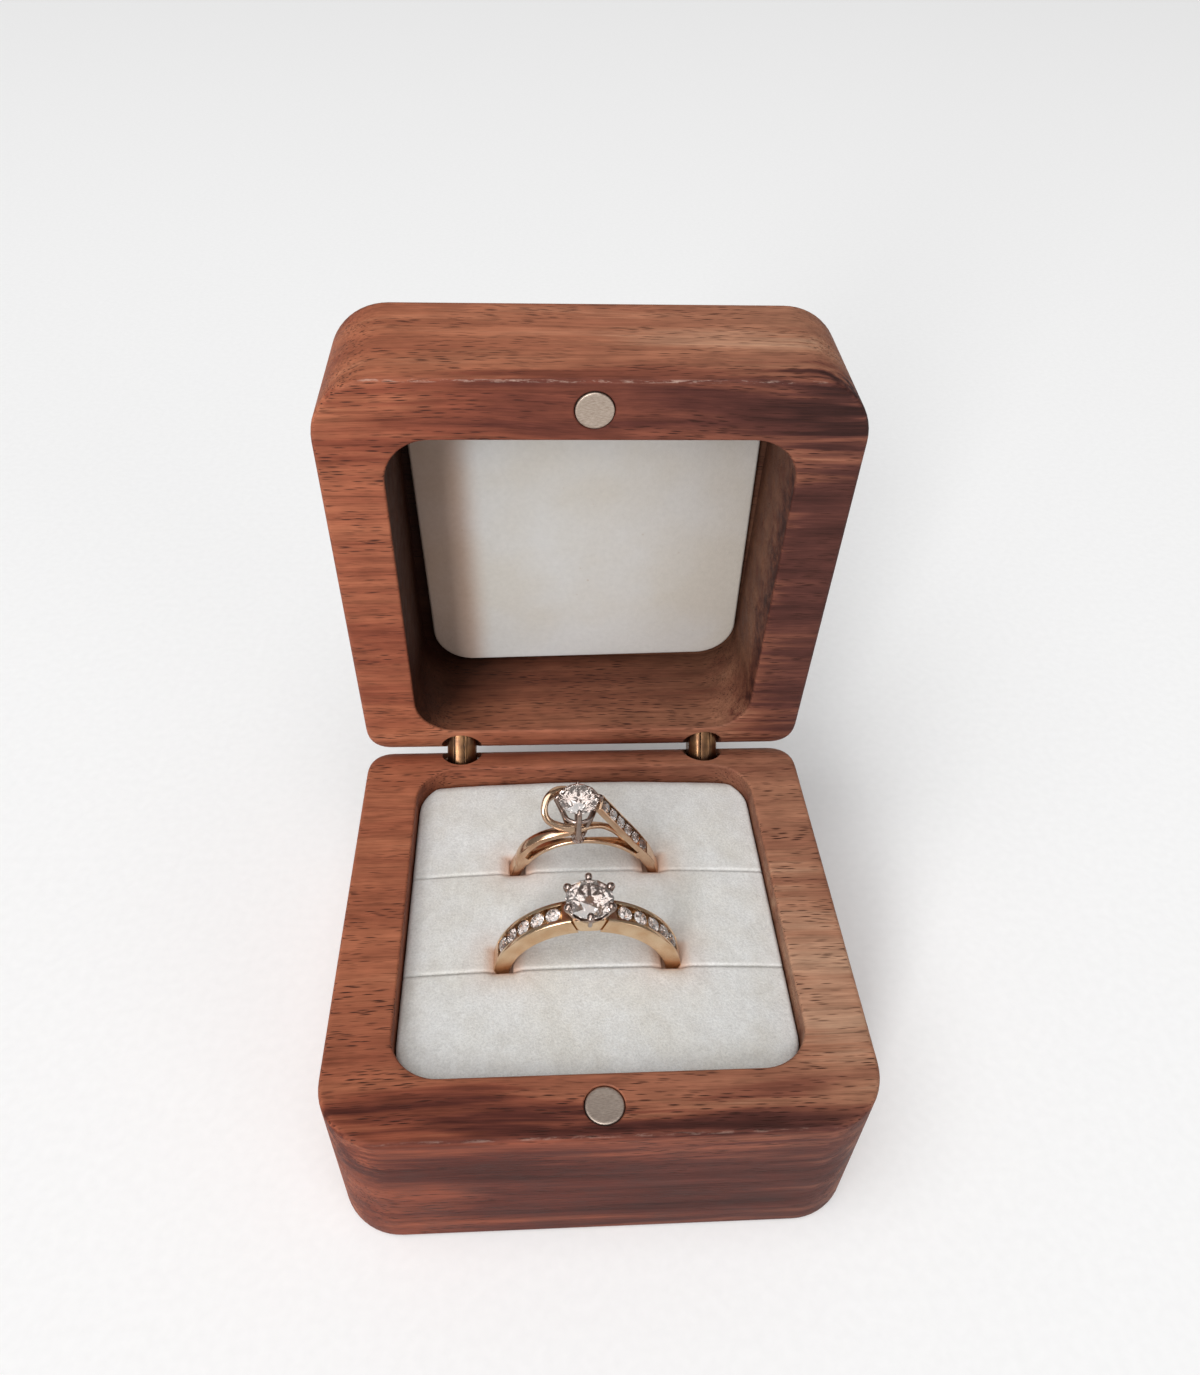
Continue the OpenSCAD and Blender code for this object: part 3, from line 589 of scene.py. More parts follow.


# What the rings do to the cloth at each place: how far it dips, and how much painted shadow and reflection it
# takes
def ringMarks(x, y, look):
    dip, ringShadeAndGleam = [], np.zeros_like(x)
    for left, right, near, far in look["feet"]:
        aside = np.maximum(np.maximum(left - x, x - right), 0)
        along = np.maximum(np.maximum(near - y, y - far), 0)
        away = np.hypot(aside, along)
        dip.append((0.4 * np.exp(-(away / 0.8) ** 2), 1.2 * np.clip(1 - away / 0.15, 0, 1)))
        ringShadeAndGleam = np.maximum(ringShadeAndGleam, 0.75 * np.exp(-(aside / 1.5) ** 2 - (along / 0.7) ** 2))
        ringShadeAndGleam = np.maximum(ringShadeAndGleam, 0.26 * np.exp(-((aside - 0.8) / 2.4) ** 2 - (along / 2.6) ** 2))
    return dip, ringShadeAndGleam


def makeRoll(node, front, back, look):
    half, straight = look["half"], look["half"] - look["corner"]
    nx, ny = look["steps"]
    u, v = np.linspace(-1, 1, nx + 1), np.linspace(0, 1, ny + 1)
    # Rows and columns lie closer near the walls and slots
    across = half * (0.7 * u + 0.3 * np.sin(math.pi * u / 2))
    share = 0.5 * v + 0.5 * (0.5 - 0.5 * np.cos(math.pi * v))
    over = np.maximum(np.abs(across) - straight, 0)
    wall = straight + np.sqrt(np.maximum(look["corner"] ** 2 - over ** 2, 0))
    start, end = np.maximum(front, -wall), np.minimum(back, wall)
    x = np.repeat(across[:, None], ny + 1, 1)
    y = start[:, None] + (end - start)[:, None] * share[None, :]
    arc = (half ** 2 + look["endFall"] ** 2) / (2 * look["endFall"])
    top = look["crown"] - (arc - np.sqrt(arc ** 2 - x ** 2))
    slots = np.full_like(x, 9.0)
    if front > -half:
        slots = np.minimum(slots, y - front)
    if back < half:
        slots = np.minimum(slots, back - y)
    edge = fall(np.maximum(wallDistance(x, y, look), 0), look["wallEdge"])
    if back >= half:
        edge = np.maximum(edge, fall(half - y, look["hingeEdge"]))
    drop = fall(slots, look["slotEdge"]) + edge
    dips, ringShadeAndGleam = ringMarks(x, y, look)
    for broad, tight in dips:
        drop = drop + broad + tight
    soft = (0.03 * np.sin(0.61 * x + 1.3 * front) * np.sin(0.83 * y + 0.7)
            + 0.012 * np.sin(1.7 * x + 0.4 * y + back))
    z = np.maximum(top - drop + soft * np.clip(slots, 0, 1), look["floor"] + 4)
    z = np.minimum(z, look["crown"])
    points = np.stack([x, y, z], -1).reshape(-1, 3).tolist()
    row = ny + 1
    faces = [(i * row + j, (i + 1) * row + j, (i + 1) * row + j + 1, i * row + j + 1)
             for i in range(nx) for j in range(ny)]
    # Down the sides from the rim of the top, and a flat underside
    rim = ([i * row for i in range(nx + 1)] + [nx * row + j for j in range(1, ny + 1)]
           + [i * row + ny for i in range(nx - 1, -1, -1)] + [j for j in range(ny - 1, 0, -1)])
    last, count = rim, len(rim)
    for k in range(1, 5):
        fresh = list(range(len(points), len(points) + count))
        for i in rim:
            px, py, pz = points[i]
            points.append((px, py, pz + (look["floor"] - pz) * k / 4))
        faces += [(last[m], fresh[m], fresh[(m + 1) % count], last[(m + 1) % count]) for m in range(count)]
        last = fresh
    faces.append(tuple(reversed(last)))
    piece = meshPiece("velvet_" + node, points, faces, velvet, sharpAngle=75)
    # Painted shadow and reflection of the rings, carried into the velvet's colour
    paintedRingShade = np.zeros(len(points))
    paintedRingShade[:x.size] = ringShadeAndGleam.reshape(-1)
    piece.data.attributes.new("ringShadowAndReflection", "FLOAT", "POINT").data.foreach_set("value", paintedRingShade)
    placePiece(piece, "base", "velvet", node)


def makeCushion(look):
    gap = look["slotGap"] / 2
    makeRoll("front_roll", -look["half"], look["frontSlot"] - gap, look)
    makeRoll("middle_roll", look["frontSlot"] + gap, look["rearSlot"] - gap, look)
    makeRoll("rear_roll", look["rearSlot"] + gap, look["half"], look)


makeCushion(cushionSet)
print("cushion made")

# Liner: card under glued suede, a little crooked in its recess
linerSet = {
    "half": 20.3,
    "corner": 5.0,
    "front": 13.0,
    "back": 14.2,
    "ease": 0.35,
    "shift": 0.25,
    "turn": -1.4,
    "ripple": 0.06,
}


def suedeFinish():
    finish, shader, add = newFinish("split suede")  # chalky and cloudy, with a few dark specks
    cloud = add("TexNoise", {"Vector": millimetres(add), "Scale": 0.07, "Detail": 3.0, "Roughness": 0.5})
    nap = add("TexNoise", {"Vector": millimetres(add), "Scale": 1.4, "Detail": 5.0, "Roughness": 0.75})
    tone = add("ValToRGB", {"Fac": cloud}, stops=[(0.36, "#c4c0b9"), (0.6, "#c8c7c5")])
    layers = [add("ValToRGB", {"Fac": nap}, stops=[(0.3, 0.94), (0.65, 1.02)])]
    # Painted shade: a brown painted shadow along the left, warmed as by light off the walnut, a fainter
    # painted shadow along the front, and duller towards the right
    place = add("SeparateXYZ", {0: millimetres(add)})
    for axis, shadowStart, shadowEnd, colour in ((0, -12.0, -16.0, "#dfc6b8"), (1, -14.0, -19.5, "#e6d6cc"),
                                        (0, -8.0, 19.0, "#f4f0ec")):
        part = add("MapRange", {"Value": place.outputs[axis], "From Min": shadowStart, "From Max": shadowEnd},
                   interpolation_type="SMOOTHSTEP")
        layers.append(add("MixRGB", {"Fac": part, "Color1": (1, 1, 1, 1), "Color2": toLinear(colour)}))
    for layer in layers:
        tone = add("MixRGB", {"Fac": 1.0, "Color1": tone, "Color2": layer}, blend_type="MULTIPLY")
    dots = add("TexVoronoi", {"Vector": millimetres(add), "Scale": 0.3}).outputs["Distance"]
    specks = add("ValToRGB", {"Fac": dots}, stops=[(0.03, 0.4), (0.06, 0.0)])
    tone = add("MixRGB", {"Fac": specks, "Color1": tone, "Color2": toLinear("#a58f7c")})
    bump = add("Bump", {"Height": nap, "Strength": 0.4, "Distance": 0.00012})
    feedNode(shader, {"Base Color": tone, "Normal": bump, "Roughness": 0.9, "Specular IOR Level": 0.2,
                      "Sheen Weight": 0.1})
    return finish


suede = suedeFinish()
dressNode("cushion_board", suede)


def makeLiner(look):
    half, corner, ease = look["half"], look["corner"], look["ease"]
    rows = []

    def row(inset, z, lift=0.0):
        outline = roundedSquare(half - inset, max(corner - inset, 0.3))
        rows.append([(x, y, z + lift * (math.sin(0.31 * x + 0.8) * math.sin(0.27 * y - 0.5)))
                     for x, y in outline])

    row(0.1, look["back"])
    for k in range(6):
        a = math.radians(90 * k / 5)
        row(ease * (1 - math.cos(a)), look["front"] + ease * (1 - math.sin(a)))
    # The face, which the glue has pulled a little out of flat
    for inset in (1.0, 2.5, 4.5, 7, 10, 13, 16, 19):
        row(inset, look["front"], look["ripple"])
    piece = meshPiece("suede_liner", *loftParts(rows), suede, sharpAngle=60)
    piece.data.flip_normals()
    place = Matrix.Translation((0.001 * look["shift"], 0, 0.001 * boxSet["shutZ"]))
    piece.matrix_world = lidOpen @ place @ Matrix.Rotation(math.radians(look["turn"]), 4, "Z")
    placePiece(piece, "lid", "suede", "liner_suede", "liner_card")


makeLiner(linerSet)
print("liner made")

# Magnets: nickel-plated discs pressed into the rims
magnetSet = {
    "radius": 1.95,
    "thick": 2.0,
    "ease": 0.16,
    "dish": [(0.35, 0.0), (0.6, -0.015), (1.05, -0.02), (1.65, -0.02)],  # in from the edge, and down
    "baseTop": 21.3,
    "lidTop": 21.52,
}


def nickelFinish(name, dull, bright):
    finish, shader, add = newFinish(name)  # warm grey metal, dulled by handling
    scuff = millimetres(add, (1, 4, 1))
    scuff = add("TexNoise", {"Vector": scuff, "Scale": 2.0, "Detail": 5.0, "Roughness": 0.7})
    tone = add("ValToRGB", {"Fac": scuff}, stops=[(0.3, dull), (0.65, bright)])
    rough = add("MapRange", {"Value": scuff, "To Min": 0.34, "To Max": 0.6})
    bump = add("Bump", {"Height": scuff, "Strength": 0.15, "Distance": 0.00005})
    feedNode(shader, {"Base Color": tone, "Roughness": rough, "Normal": bump, "Metallic": 1.0})
    return finish


def makeMagnets(look):
    baseNickel = nickelFinish("bright nickel plate", "#a8988b", "#cdbeb2")
    lidNickel = nickelFinish("dull nickel plate", "#9c897b", "#c8baac")
    e, r, y = look["ease"], look["radius"], 0.001 * boxSet["magnetY"]
    profile = [(r - e, -look["thick"]), (r, -look["thick"] + e)]
    for k in range(6):
        a = math.radians(90 * k / 5)
        profile.append((r - e * (1 - math.cos(a)), -e * (1 - math.sin(a))))
    profile += [(r - inset, z) for inset, z in look["dish"]]
    disc = lathe(profile, 64)
    low = meshPiece("nickel_base_magnet", *disc, baseNickel)
    low.matrix_world = Matrix.Translation((0, y, 0.001 * look["baseTop"]))
    placePiece(low, "base", "nickel", "base_magnet")
    high = meshPiece("nickel_lid_magnet", *disc, lidNickel)
    over = Matrix.Rotation(math.pi, 4, "X")
    high.matrix_world = lidOpen @ Matrix.Translation((0, y, 0.001 * look["lidTop"])) @ over
    placePiece(high, "lid", "nickel", "lid_magnet")


makeMagnets(magnetSet)
print("magnets made")

# Barrel hinges: turned and slotted brass, each edge broken by the tool
hingeSet = {"edge": 0.09, "leafEdge": 0.06}


def brassFinish():
    finish, shader, add = newFinish("drawn brass")  # warm yellow metal with fine turning lines
    lines = millimetres(add, (1, 1, 9))
    lines = add("TexNoise", {"Vector": lines, "Scale": 1.6, "Detail": 4.0, "Roughness": 0.7})
    age = add("TexNoise", {"Vector": millimetres(add), "Scale": 0.7, "Detail": 3.0})
    tone = add("ValToRGB", {"Fac": age}, stops=[(0.3, "#5c4234"), (0.65, "#916c4c")])
    rough = add("MapRange", {"Value": lines, "To Min": 0.2, "To Max": 0.42})
    bump = add("Bump", {"Height": lines, "Strength": 0.2, "Distance": 0.00003})
    feedNode(shader, {"Base Color": tone, "Roughness": rough, "Normal": bump, "Metallic": 1.0})
    return finish


# A copy of a CAD solid with its edges broken
def easedCopy(node, width, finish, body):
    mesh = frame["nodes"][node].data.copy()
    mesh.materials.clear()
    mesh.materials.append(finish)
    piece = bpy.data.objects.new(node + "_eased", mesh)
    bpy.context.scene.collection.objects.link(piece)
    weld = piece.modifiers.new("weld", "WELD")
    weld.merge_threshold = 0.000002
    flat = piece.modifiers.new("flat", "DECIMATE")
    flat.decimate_type = "DISSOLVE"
    flat.angle_limit = math.radians(4)
    edge = piece.modifiers.new("edge", "BEVEL")
    edge.width = 0.001 * width
    edge.segments = 3
    edge.limit_method = "ANGLE"
    edge.angle_limit = math.radians(35)
    applyModifiers(piece, 30)
    bpy.context.scene.collection.objects.unlink(piece)
    placePiece(piece, body, "brass", node)


def makeHinges(look):
    brass = brassFinish()
    for side in ("left", "right"):
        for body in ("base", "lid"):
            easedCopy(side + "_" + body + "_barrel", look["edge"], brass, body)
        for leaf in ("outer", "middle", "inner"):
            easedCopy(side + "_" + leaf + "_leaf", look["leafEdge"], brass, side + "_links")
        for pin in ("_base_pin", "_lid_pin"):
            dressNode(side + pin, brass)


makeHinges(hingeSet)
print("hinges made")

# The rings, drawn about their own centres: X right, Y to the back, Z up
def goldFinish(name, pale, deep, smooth, worn):
    finish, shader, add = newFinish(name)  # polished metal with hairline wear
    hair = millimetres(add, (1, 6, 1))
    hair = add("TexNoise", {"Vector": hair, "Scale": 2.5, "Detail": 4.0, "Roughness": 0.75})
    cloud = add("TexNoise", {"Vector": millimetres(add), "Scale": 0.5, "Detail": 2.0})
    tone = add("ValToRGB", {"Fac": cloud}, stops=[(0.35, deep), (0.65, pale)])
    rough = add("MapRange", {"Value": hair, "From Min": 0.3, "From Max": 0.7,
                             "To Min": smooth, "To Max": worn})
    bump = add("Bump", {"Height": hair, "Strength": 0.08, "Distance": 0.00003})
    feedNode(shader, {"Base Color": tone, "Roughness": rough, "Normal": bump, "Metallic": 1.0})
    return finish


def diamondFinish():
    finish, shader, add = newFinish("cut diamond")  # clear, with bright and dark facets
    haze = add("TexNoise", {"Vector": millimetres(add), "Scale": 1.1, "Detail": 2.0})
    tone = add("ValToRGB", {"Fac": haze}, stops=[(0.4, "#dccbc3"), (0.6, "#ece0da")])
    feedNode(shader, {"Base Color": tone, "Roughness": 0.03, "IOR": 2.42, "Transmission Weight": 0.9})
    return finish


warmGold = goldFinish("polished warm gold", "#ebcfae", "#d9b48e", 0.14, 0.28)
roseGold = goldFinish("polished rose gold", "#e4c7ab", "#d0aa8b", 0.14, 0.28)
whiteGold = goldFinish("polished white gold", "#b5a49c", "#8e7c74", 0.12, 0.26)
diamond = diamondFinish()


# A brilliant with 57 facets, its girdle's middle at z = 0
def brilliant(d):
    r, girdle, crown, pavilion = d / 2, 0.03 * d, 0.155 * d, 0.43 * d
    table, star, lower = 0.57 * r, 0.76 * r, 0.24 * r
    turn = math.radians(22.5)

    def at(radius, step, z):
        return (radius * math.cos(step * turn), radius * math.sin(step * turn), z)

    def crownZ(radius):
        return girdle / 2 + crown * (1 - (radius * math.cos(turn) - table) / (r - table))

    low = -girdle / 2
    points = [at(table, 2 * k, girdle / 2 + crown) for k in range(8)]
    points += [at(star, 2 * k + 1, crownZ(star)) for k in range(8)]
    points += [at(r, k, girdle / 2) for k in range(16)]
    points += [at(r, k, low) for k in range(16)]
    points += [at(lower, 2 * k + 1, low - pavilion * (1 - lower * math.cos(turn) / r)) for k in range(8)]
    points.append((0, 0, low - pavilion))
    t, s, g, h, m, c = 0, 8, 16, 32, 48, 56
    faces = [tuple(range(8))]
    for k in range(8):
        n = (k + 1) % 8
        a, b, e = 2 * k, 2 * k + 1, (2 * k + 2) % 16
        faces.append((t + k, s + k, t + n))
        faces.append((t + k, s + (k - 1) % 8, g + a, s + k))
        faces += [(s + k, g + a, g + b), (s + k, g + b, g + e)]
        faces.append((c, m + k, h + a, m + (k - 1) % 8))
        faces += [(m + k, h + b, h + a), (m + k, h + e, h + b)]
    faces += [(g + k, h + k, h + (k + 1) % 16, g + (k + 1) % 16) for k in range(16)]
    return points, faces


def joinParts(parts):
    points, faces = [], []
    for p, f in parts:
        start = len(points)
        points += p
        faces += [tuple(start + i for i in face) for face in f]
    return points, faces


def stonesPiece(name, places, size):
    points, faces = brilliant(size)
    parts = [([tuple(place @ Vector(p)) for p in points], faces) for place in places]
    return meshPiece(name, *joinParts(parts), diamond, smooth=False)


# Everything on a ring sits at the ring's centre and rides in the base
def placeRing(look, rows):
    for piece, slot, node in rows:
        piece.matrix_world = Matrix.Translation(0.001 * Vector(look["centre"]))
        placePiece(piece, "base", slot, node)


# A curve that passes through every point
def smoothPath(points, steps):
    p = [np.array(q, float) for q in points]
    out = []
    for i in range(len(p) - 1):
        a, b, c, d = p[max(i - 1, 0)], p[i], p[i + 1], p[min(i + 2, len(p) - 1)]
        for k in range(steps):
            t = k / steps
            out.append((2 * b + (c - a) * t + (2 * a - 5 * b + 4 * c - d) * t * t
                        + (3 * b - a - 3 * c + d) * t ** 3) / 2)
    return out + [p[-1]]


# The direction of a path at one of its points
def headingAt(path, i):
    ahead = path[min(i + 1, len(path) - 1)] - path[max(i - 1, 0)]
    return ahead / np.linalg.norm(ahead)


# A round section that grows squarer with its power
def softSection(count, power):
    angles = [2 * math.pi * k / count for k in range(count)]
    return [(math.copysign(abs(math.cos(a)) ** (2 / power), math.cos(a)),
             math.copysign(abs(math.sin(a)) ** (2 / power), math.sin(a))) for a in angles]


# A bar through rows of a centre and two half-size vectors
def sweptBar(rows, section):
    return loftParts([[tuple(centre + a * u + b * v) for a, b in section] for centre, u, v in rows])


# A claw that leans out along a path of (radius, height, thickness)
def clawParts(stops, bearing):
    path = smoothPath(stops, 5)
    turn = math.radians(bearing)
    out = np.array([math.cos(turn), math.sin(turn), 0])
    across = np.array([-math.sin(turn), math.cos(turn), 0])
    centres = [out * q[0] + np.array([0, 0, q[1]]) for q in path]
    rows = []
    for i, (centre, q) in enumerate(zip(centres, path)):
        normal = np.cross(across, headingAt(centres, i))
        rows.append((centre, across * q[2], normal * q[2]))
    # Its tip is rounded off
    tip, u, v = rows[-1]
    ahead = headingAt(centres, len(centres) - 1) * path[-1][2]
    for k in range(1, 6):
        a = math.radians(17.64 * k)
        rows.append((tip + ahead * math.sin(a), u * math.cos(a), v * math.cos(a)))
    return sweptBar(rows, softSection(16, 2.2))


def torusParts(radius, thick, z, count=64, sides=10):
    points, faces = [], []
    for i in range(count):
        a, row, after = 2 * math.pi * i / count, i * sides, (i + 1) % count * sides
        for j in range(sides):
            b, beside = 2 * math.pi * j / sides, (j + 1) % sides
            reach = radius + thick * math.cos(b)
            points.append((reach * math.cos(a), reach * math.sin(a), z + thick * math.sin(b)))
            faces.append((row + j, after + j, after + beside, row + beside))
    return points, faces


# The head's foot fills the cut between the shoulders, and its cup is scalloped.
# Their rows are half length, half width, height, squareness and scallops' height.
solitaireSet = {
    "centre": (-0.8, -6.45, 17.2),
    "inner": 8.8,
    "outer": 10.5,
    "rise": 0.45,
    "topWidth": 2.9,
    "footWidth": 2.2,
    "edge": 0.16,
    "channel": (16.15, 69.9),
    "channelHalf": 0.92,
    "channelDepth": 1.05,
    "shoulderCut": (1.194, 2.1),
    "foot": [(0.3, 0.4, 8.86, 2, 0), (1.22, 1.2, 8.87, 6, 0), (1.28, 1.34, 8.93, 8, 0),
             (1.37, 1.39, 9.15, 9, 0), (1.56, 1.4, 9.6, 9, 0), (1.86, 1.4, 10.3, 8, 0),
             (2.02, 1.38, 10.72, 7, 0), (1.7, 1.2, 10.8, 4, 0), (0.5, 0.5, 10.8, 2, 0)],
    "cup": [(0.6, 0.6, 10.2, 2, 0), (0.7, 1.35, 10.22, 2.4, 0), (1.2, 1.46, 10.4, 2.6, 0),
            (1.7, 1.56, 10.72, 2.8, 0), (2.0, 1.8, 11.06, 2.4, 0), (2.08, 2.08, 11.35, 2, 0.06),
            (2.26, 2.26, 11.66, 2, 0.4), (2.34, 2.34, 11.78, 2, 0.56), (2.3, 2.3, 11.8, 2, 0.58),
            (2.16, 2.16, 11.64, 2, 0.45), (1.9, 1.9, 11.2, 2, 0.1), (1.5, 1.5, 10.9, 2, 0),
            (0.8, 0.8, 10.7, 2, 0), (0.2, 0.2, 10.6, 2, 0)],
    "claw": [(1.72, 10.5, 0.26), (2.05, 11.3, 0.28), (2.45, 12.2, 0.3),
             (2.74, 12.72, 0.33), (2.74, 12.98, 0.4), (2.56, 13.12, 0.4)],
    "clawCount": 6,
    "stone": 5.15,
    "girdle": 12.7,
    "sideStone": 1.7,
    "sideStart": 22.0,
    "sidePitch": 10.509,
    "sideCount": 5,
    "sideDrop": 0.2,
}


# A slice of the band, across and out from the centre; groove is 1 in the stones' channel
def bandSection(half, outer, look, groove):
    r0, r1, e, c = look["inner"], outer, look["edge"], look["channelHalf"]
    arc = [math.radians(22.5 * k) for k in range(5)]
    floor = r1 - look["channelDepth"] * groove
    left = [(-half + e - e * math.sin(a), r0 + e - e * math.cos(a)) for a in arc]
    left += [(-half + e - e * math.cos(a), r1 - e + e * math.sin(a)) for a in arc]
    left += [(-c - 0.07, r1), (-c - 0.02, r1 - 0.02 * groove), (-c, r1 - 0.07 * groove), (-c + 0.02, floor)]
    right = [(-y, r) for y, r in reversed(left)]
    return left + right


# Rings of the head, squarer or rounder, with six scallops where they have a height
def headLoft(table):
    rows, lobes = [], 96
    for halfX, halfY, z, power, lift in table:
        ring = []
        for k, (ux, uy) in enumerate(softSection(lobes, power)):
            rise = lift * abs(math.cos(3 * (2 * math.pi * k / lobes - math.radians(30)))) ** 2
            ring.append(((halfX + 0.4 * rise) * ux, (halfY + 0.4 * rise) * uy, z + rise))
        rows.append(ring)
    return loftParts(rows)


# The band's outside is a circle raised off the finger hole's centre
def makeBand(look):
    rise, size = look["rise"], look["outer"]

    def outerAt(degrees):
        t = math.radians(degrees)
        return rise * math.cos(t) + math.sqrt(size ** 2 - (rise * math.sin(t)) ** 2)

    def fromRaised(degrees):
        t = math.radians(degrees)
        return math.degrees(math.atan2(size * math.sin(t), rise + size * math.cos(t)))

    # A section every 1.5 degrees, and closer where the stones' channel starts and ends
    a0, a1 = (fromRaised(a) for a in look["channel"])
    wide, narrow = look["topWidth"], look["footWidth"]
    marks = sorted(set([1.5 * k for k in range(121)] + [a0 - 0.2, a0, a1, a1 + 0.2]))
    rows = []
    for angle in [-a for a in reversed(marks) if a > 0] + marks[:-1]:
        t = math.radians(angle)
        half = 0.25 * (wide + narrow + (wide - narrow) * math.cos(t))
        section = bandSection(half, outerAt(angle), look, 1.0 if a0 <= abs(angle) <= a1 else 0.0)
        rows.append([(r * math.sin(t), y, r * math.cos(t)) for y, r in section])
    return meshPiece("gold_solitaire_band", *loftParts(rows, closed=True), warmGold, sharpAngle=32)


# The gap between the shoulders, wider at the top, where the head stands
def cutShoulders(band, look):
    low, high = look["shoulderCut"]
    z0, z1, y = look["inner"] - 0.5, look["outer"] + look["rise"] + 0.5, 3.0
    slope = (high - low) / (look["outer"] + look["rise"] - look["inner"])
    x0, x1 = low - 0.5 * slope, high + 0.5 * slope
    wedge = [(-x0, -y, z0), (x0, -y, z0), (x1, -y, z1), (-x1, -y, z1),
             (-x0, y, z0), (x0, y, z0), (x1, y, z1), (-x1, y, z1)]
    sides = [(0, 1, 2, 3), (5, 4, 7, 6), (0, 4, 5, 1), (1, 5, 6, 2), (2, 6, 7, 3), (3, 7, 4, 0)]
    cutAway(band, meshPiece("shoulder_cut", wedge, sides, warmGold, smooth=False), 32)


def makeSolitaire(look):
    band = makeBand(look)
    cutShoulders(band, look)
    foot = meshPiece("gold_solitaire_foot", *headLoft(look["foot"]), warmGold, sharpAngle=50)
    parts = [headLoft(look["cup"])]
    parts += [clawParts(look["claw"], 30 + 360 / look["clawCount"] * k) for k in range(look["clawCount"])]
    head = meshPiece("white_gold_solitaire_head", *joinParts(parts), whiteGold, sharpAngle=50)
    stone = stonesPiece("diamond_solitaire", [Matrix.Translation((0, 0, look["girdle"]))], look["stone"])
    lift = Matrix.Translation((0, 0, look["rise"]))
    out = Matrix.Translation((0, 0, look["outer"] - look["sideDrop"]))
    bearings = [side * (look["sideStart"] + i * look["sidePitch"])
                for side in (-1, 1) for i in range(look["sideCount"])]
    places = [lift @ Matrix.Rotation(math.radians(bearing), 4, "Y") @ out for bearing in bearings]
    shoulder = stonesPiece("diamond_shoulders", places, look["sideStone"])
    placeRing(look, [(band, "rose_gold", "solitaire_band"), (foot, "rose_gold", "solitaire_head"),
                     (head, "white_gold", "solitaire_head"), (stone, "diamond", "solitaire_stone"),
                     (shoulder, "diamond", "solitaire_side_stones")])


makeSolitaire(solitaireSet)
print("solitaire made")

# The strand's rows are x, z, thickness, front and rear, the scroll's are measured
# from the stone's centre, and the claws' and collar's are radius, height and thickness
twistSet = {
    "centre": (-0.6, 6.7, 16.6),
    "inner": 7.9,
    "outer": 9.4,
    "half": 1.1,
    "bridge": 0.55,
    "bridgeSlim": 0.7,
    "strand": [(-7.9, 3.2, 1.0, -1.1, 0.9), (-7.55, 5.3, 1.1, -1.1, 0.7), (-6.65, 7.0, 1.1, -1.1, 0.5),
               (-5.2, 8.35, 1.05, -1.1, 0.35), (-3.6, 9.1, 1.0, -1.1, 0.3), (-1.9, 9.5, 0.85, -1.0, 0.3),
               (-0.6, 9.65, 0.7, -0.7, 0.5), (0.6, 9.7, 0.6, -0.3, 0.65), (1.9, 9.45, 0.6, 0.0, 0.75),
               (2.9, 9.0, 0.6, 0.0, 0.8), (3.8, 8.3, 0.6, -0.1, 0.8), (4.5, 7.5, 0.6, -0.2, 0.8),
               (5.1, 6.7, 0.5, -0.2, 0.8)],
    "armTop": (2.2, 13.5),
    "armFoot": (7.75, 5.45),
    "armHalf": 0.94,
    "armThick": 0.82,
    "armTilt": 0.25,
    "armShift": -0.1,
    "armEdge": 0.12,
    "headX": -0.85,
    "stone": 4.62,
    "girdle": 14.5,
    "sideStone": 1.45,
    "sidePitch": 1.62,
    "sideCount": 6,
    "sideFirst": -0.45,
    "sideDrop": 0.14,
    "channelDepth": 0.85,
    "scroll": [(-0.5, -1.0, -3.85), (-1.3, -1.05, -3.74), (-2.2, -1.05, -3.42), (-3.15, -0.9, -2.98),
               (-3.72, -0.6, -2.4), (-3.92, -0.1, -1.55), (-3.65, 0.6, -0.88), (-3.1, 1.2, -0.6),
               (-2.4, 1.8, -0.7), (-1.5, 2.35, -1.2), (-0.2, 2.7, -1.9), (1.1, 2.55, -2.1),
               (2.2, 1.85, -2.0), (2.8, 0.95, -1.95), (3.05, 0.0, -2.1)],
    "scrollHalf": (0.42, 0.62),
    "collar": [(0.3, 8.66), (0.86, 8.66), (1.0, 8.76), (1.0, 9.1), (0.9, 9.25), (0.3, 9.3)],
    "stem": [(0.7, 8.9, 0.4), (0.9, 9.6, 0.38)],
    "frontStem": [(1.05, 8.8, 0.74), (1.08, 9.25, 0.52), (1.12, 9.8, 0.38)],
    "middle": [(1.3, 10.7, 0.36), (1.85, 12.5, 0.33)],
    "tip": [(2.42, 14.1, 0.3), (2.54, 14.5, 0.29), (2.47, 14.74, 0.28), (2.32, 14.86, 0.24)],
    "rearTip": [(2.4, 14.0, 0.26), (2.46, 14.3, 0.24), (2.4, 14.5, 0.2)],
    "gallery": (1.82, 0.24, 12.5),
}


# A bar bent round the finger hole, slimmer towards the top where it is asked to be
def arcBar(radius, start, end, steps, thick, half, section, slim=0.0):
    rows = []
    for k in range(steps + 1):
        a = math.radians(start + (end - start) * k / steps)
        out = np.array([math.sin(a), 0, math.cos(a)])
        share = 1 - slim * math.cos(1.55 * a) ** 2
        rows.append((out * radius + np.array([0, -half * (1 - share), 0]),
                     np.array([0, half * share, 0]), out * thick / 2))
    return sweptBar(rows, section)


def strandBar(look, section):
    route = smoothPath(look["strand"], 8)
    rows = []
    for i, (x, z, thick, front, rear) in enumerate(route):
        ahead = route[min(i + 1, len(route) - 1)] - route[max(i - 1, 0)]
        up = np.array([-ahead[1], 0, ahead[0]]) / math.hypot(ahead[0], ahead[1])
        centre, side = np.array([x, (front + rear) / 2, z]), np.array([0, (rear - front) / 2, 0])
        rows.append((centre, side, up * thick / 2))
    return sweptBar(rows, section)


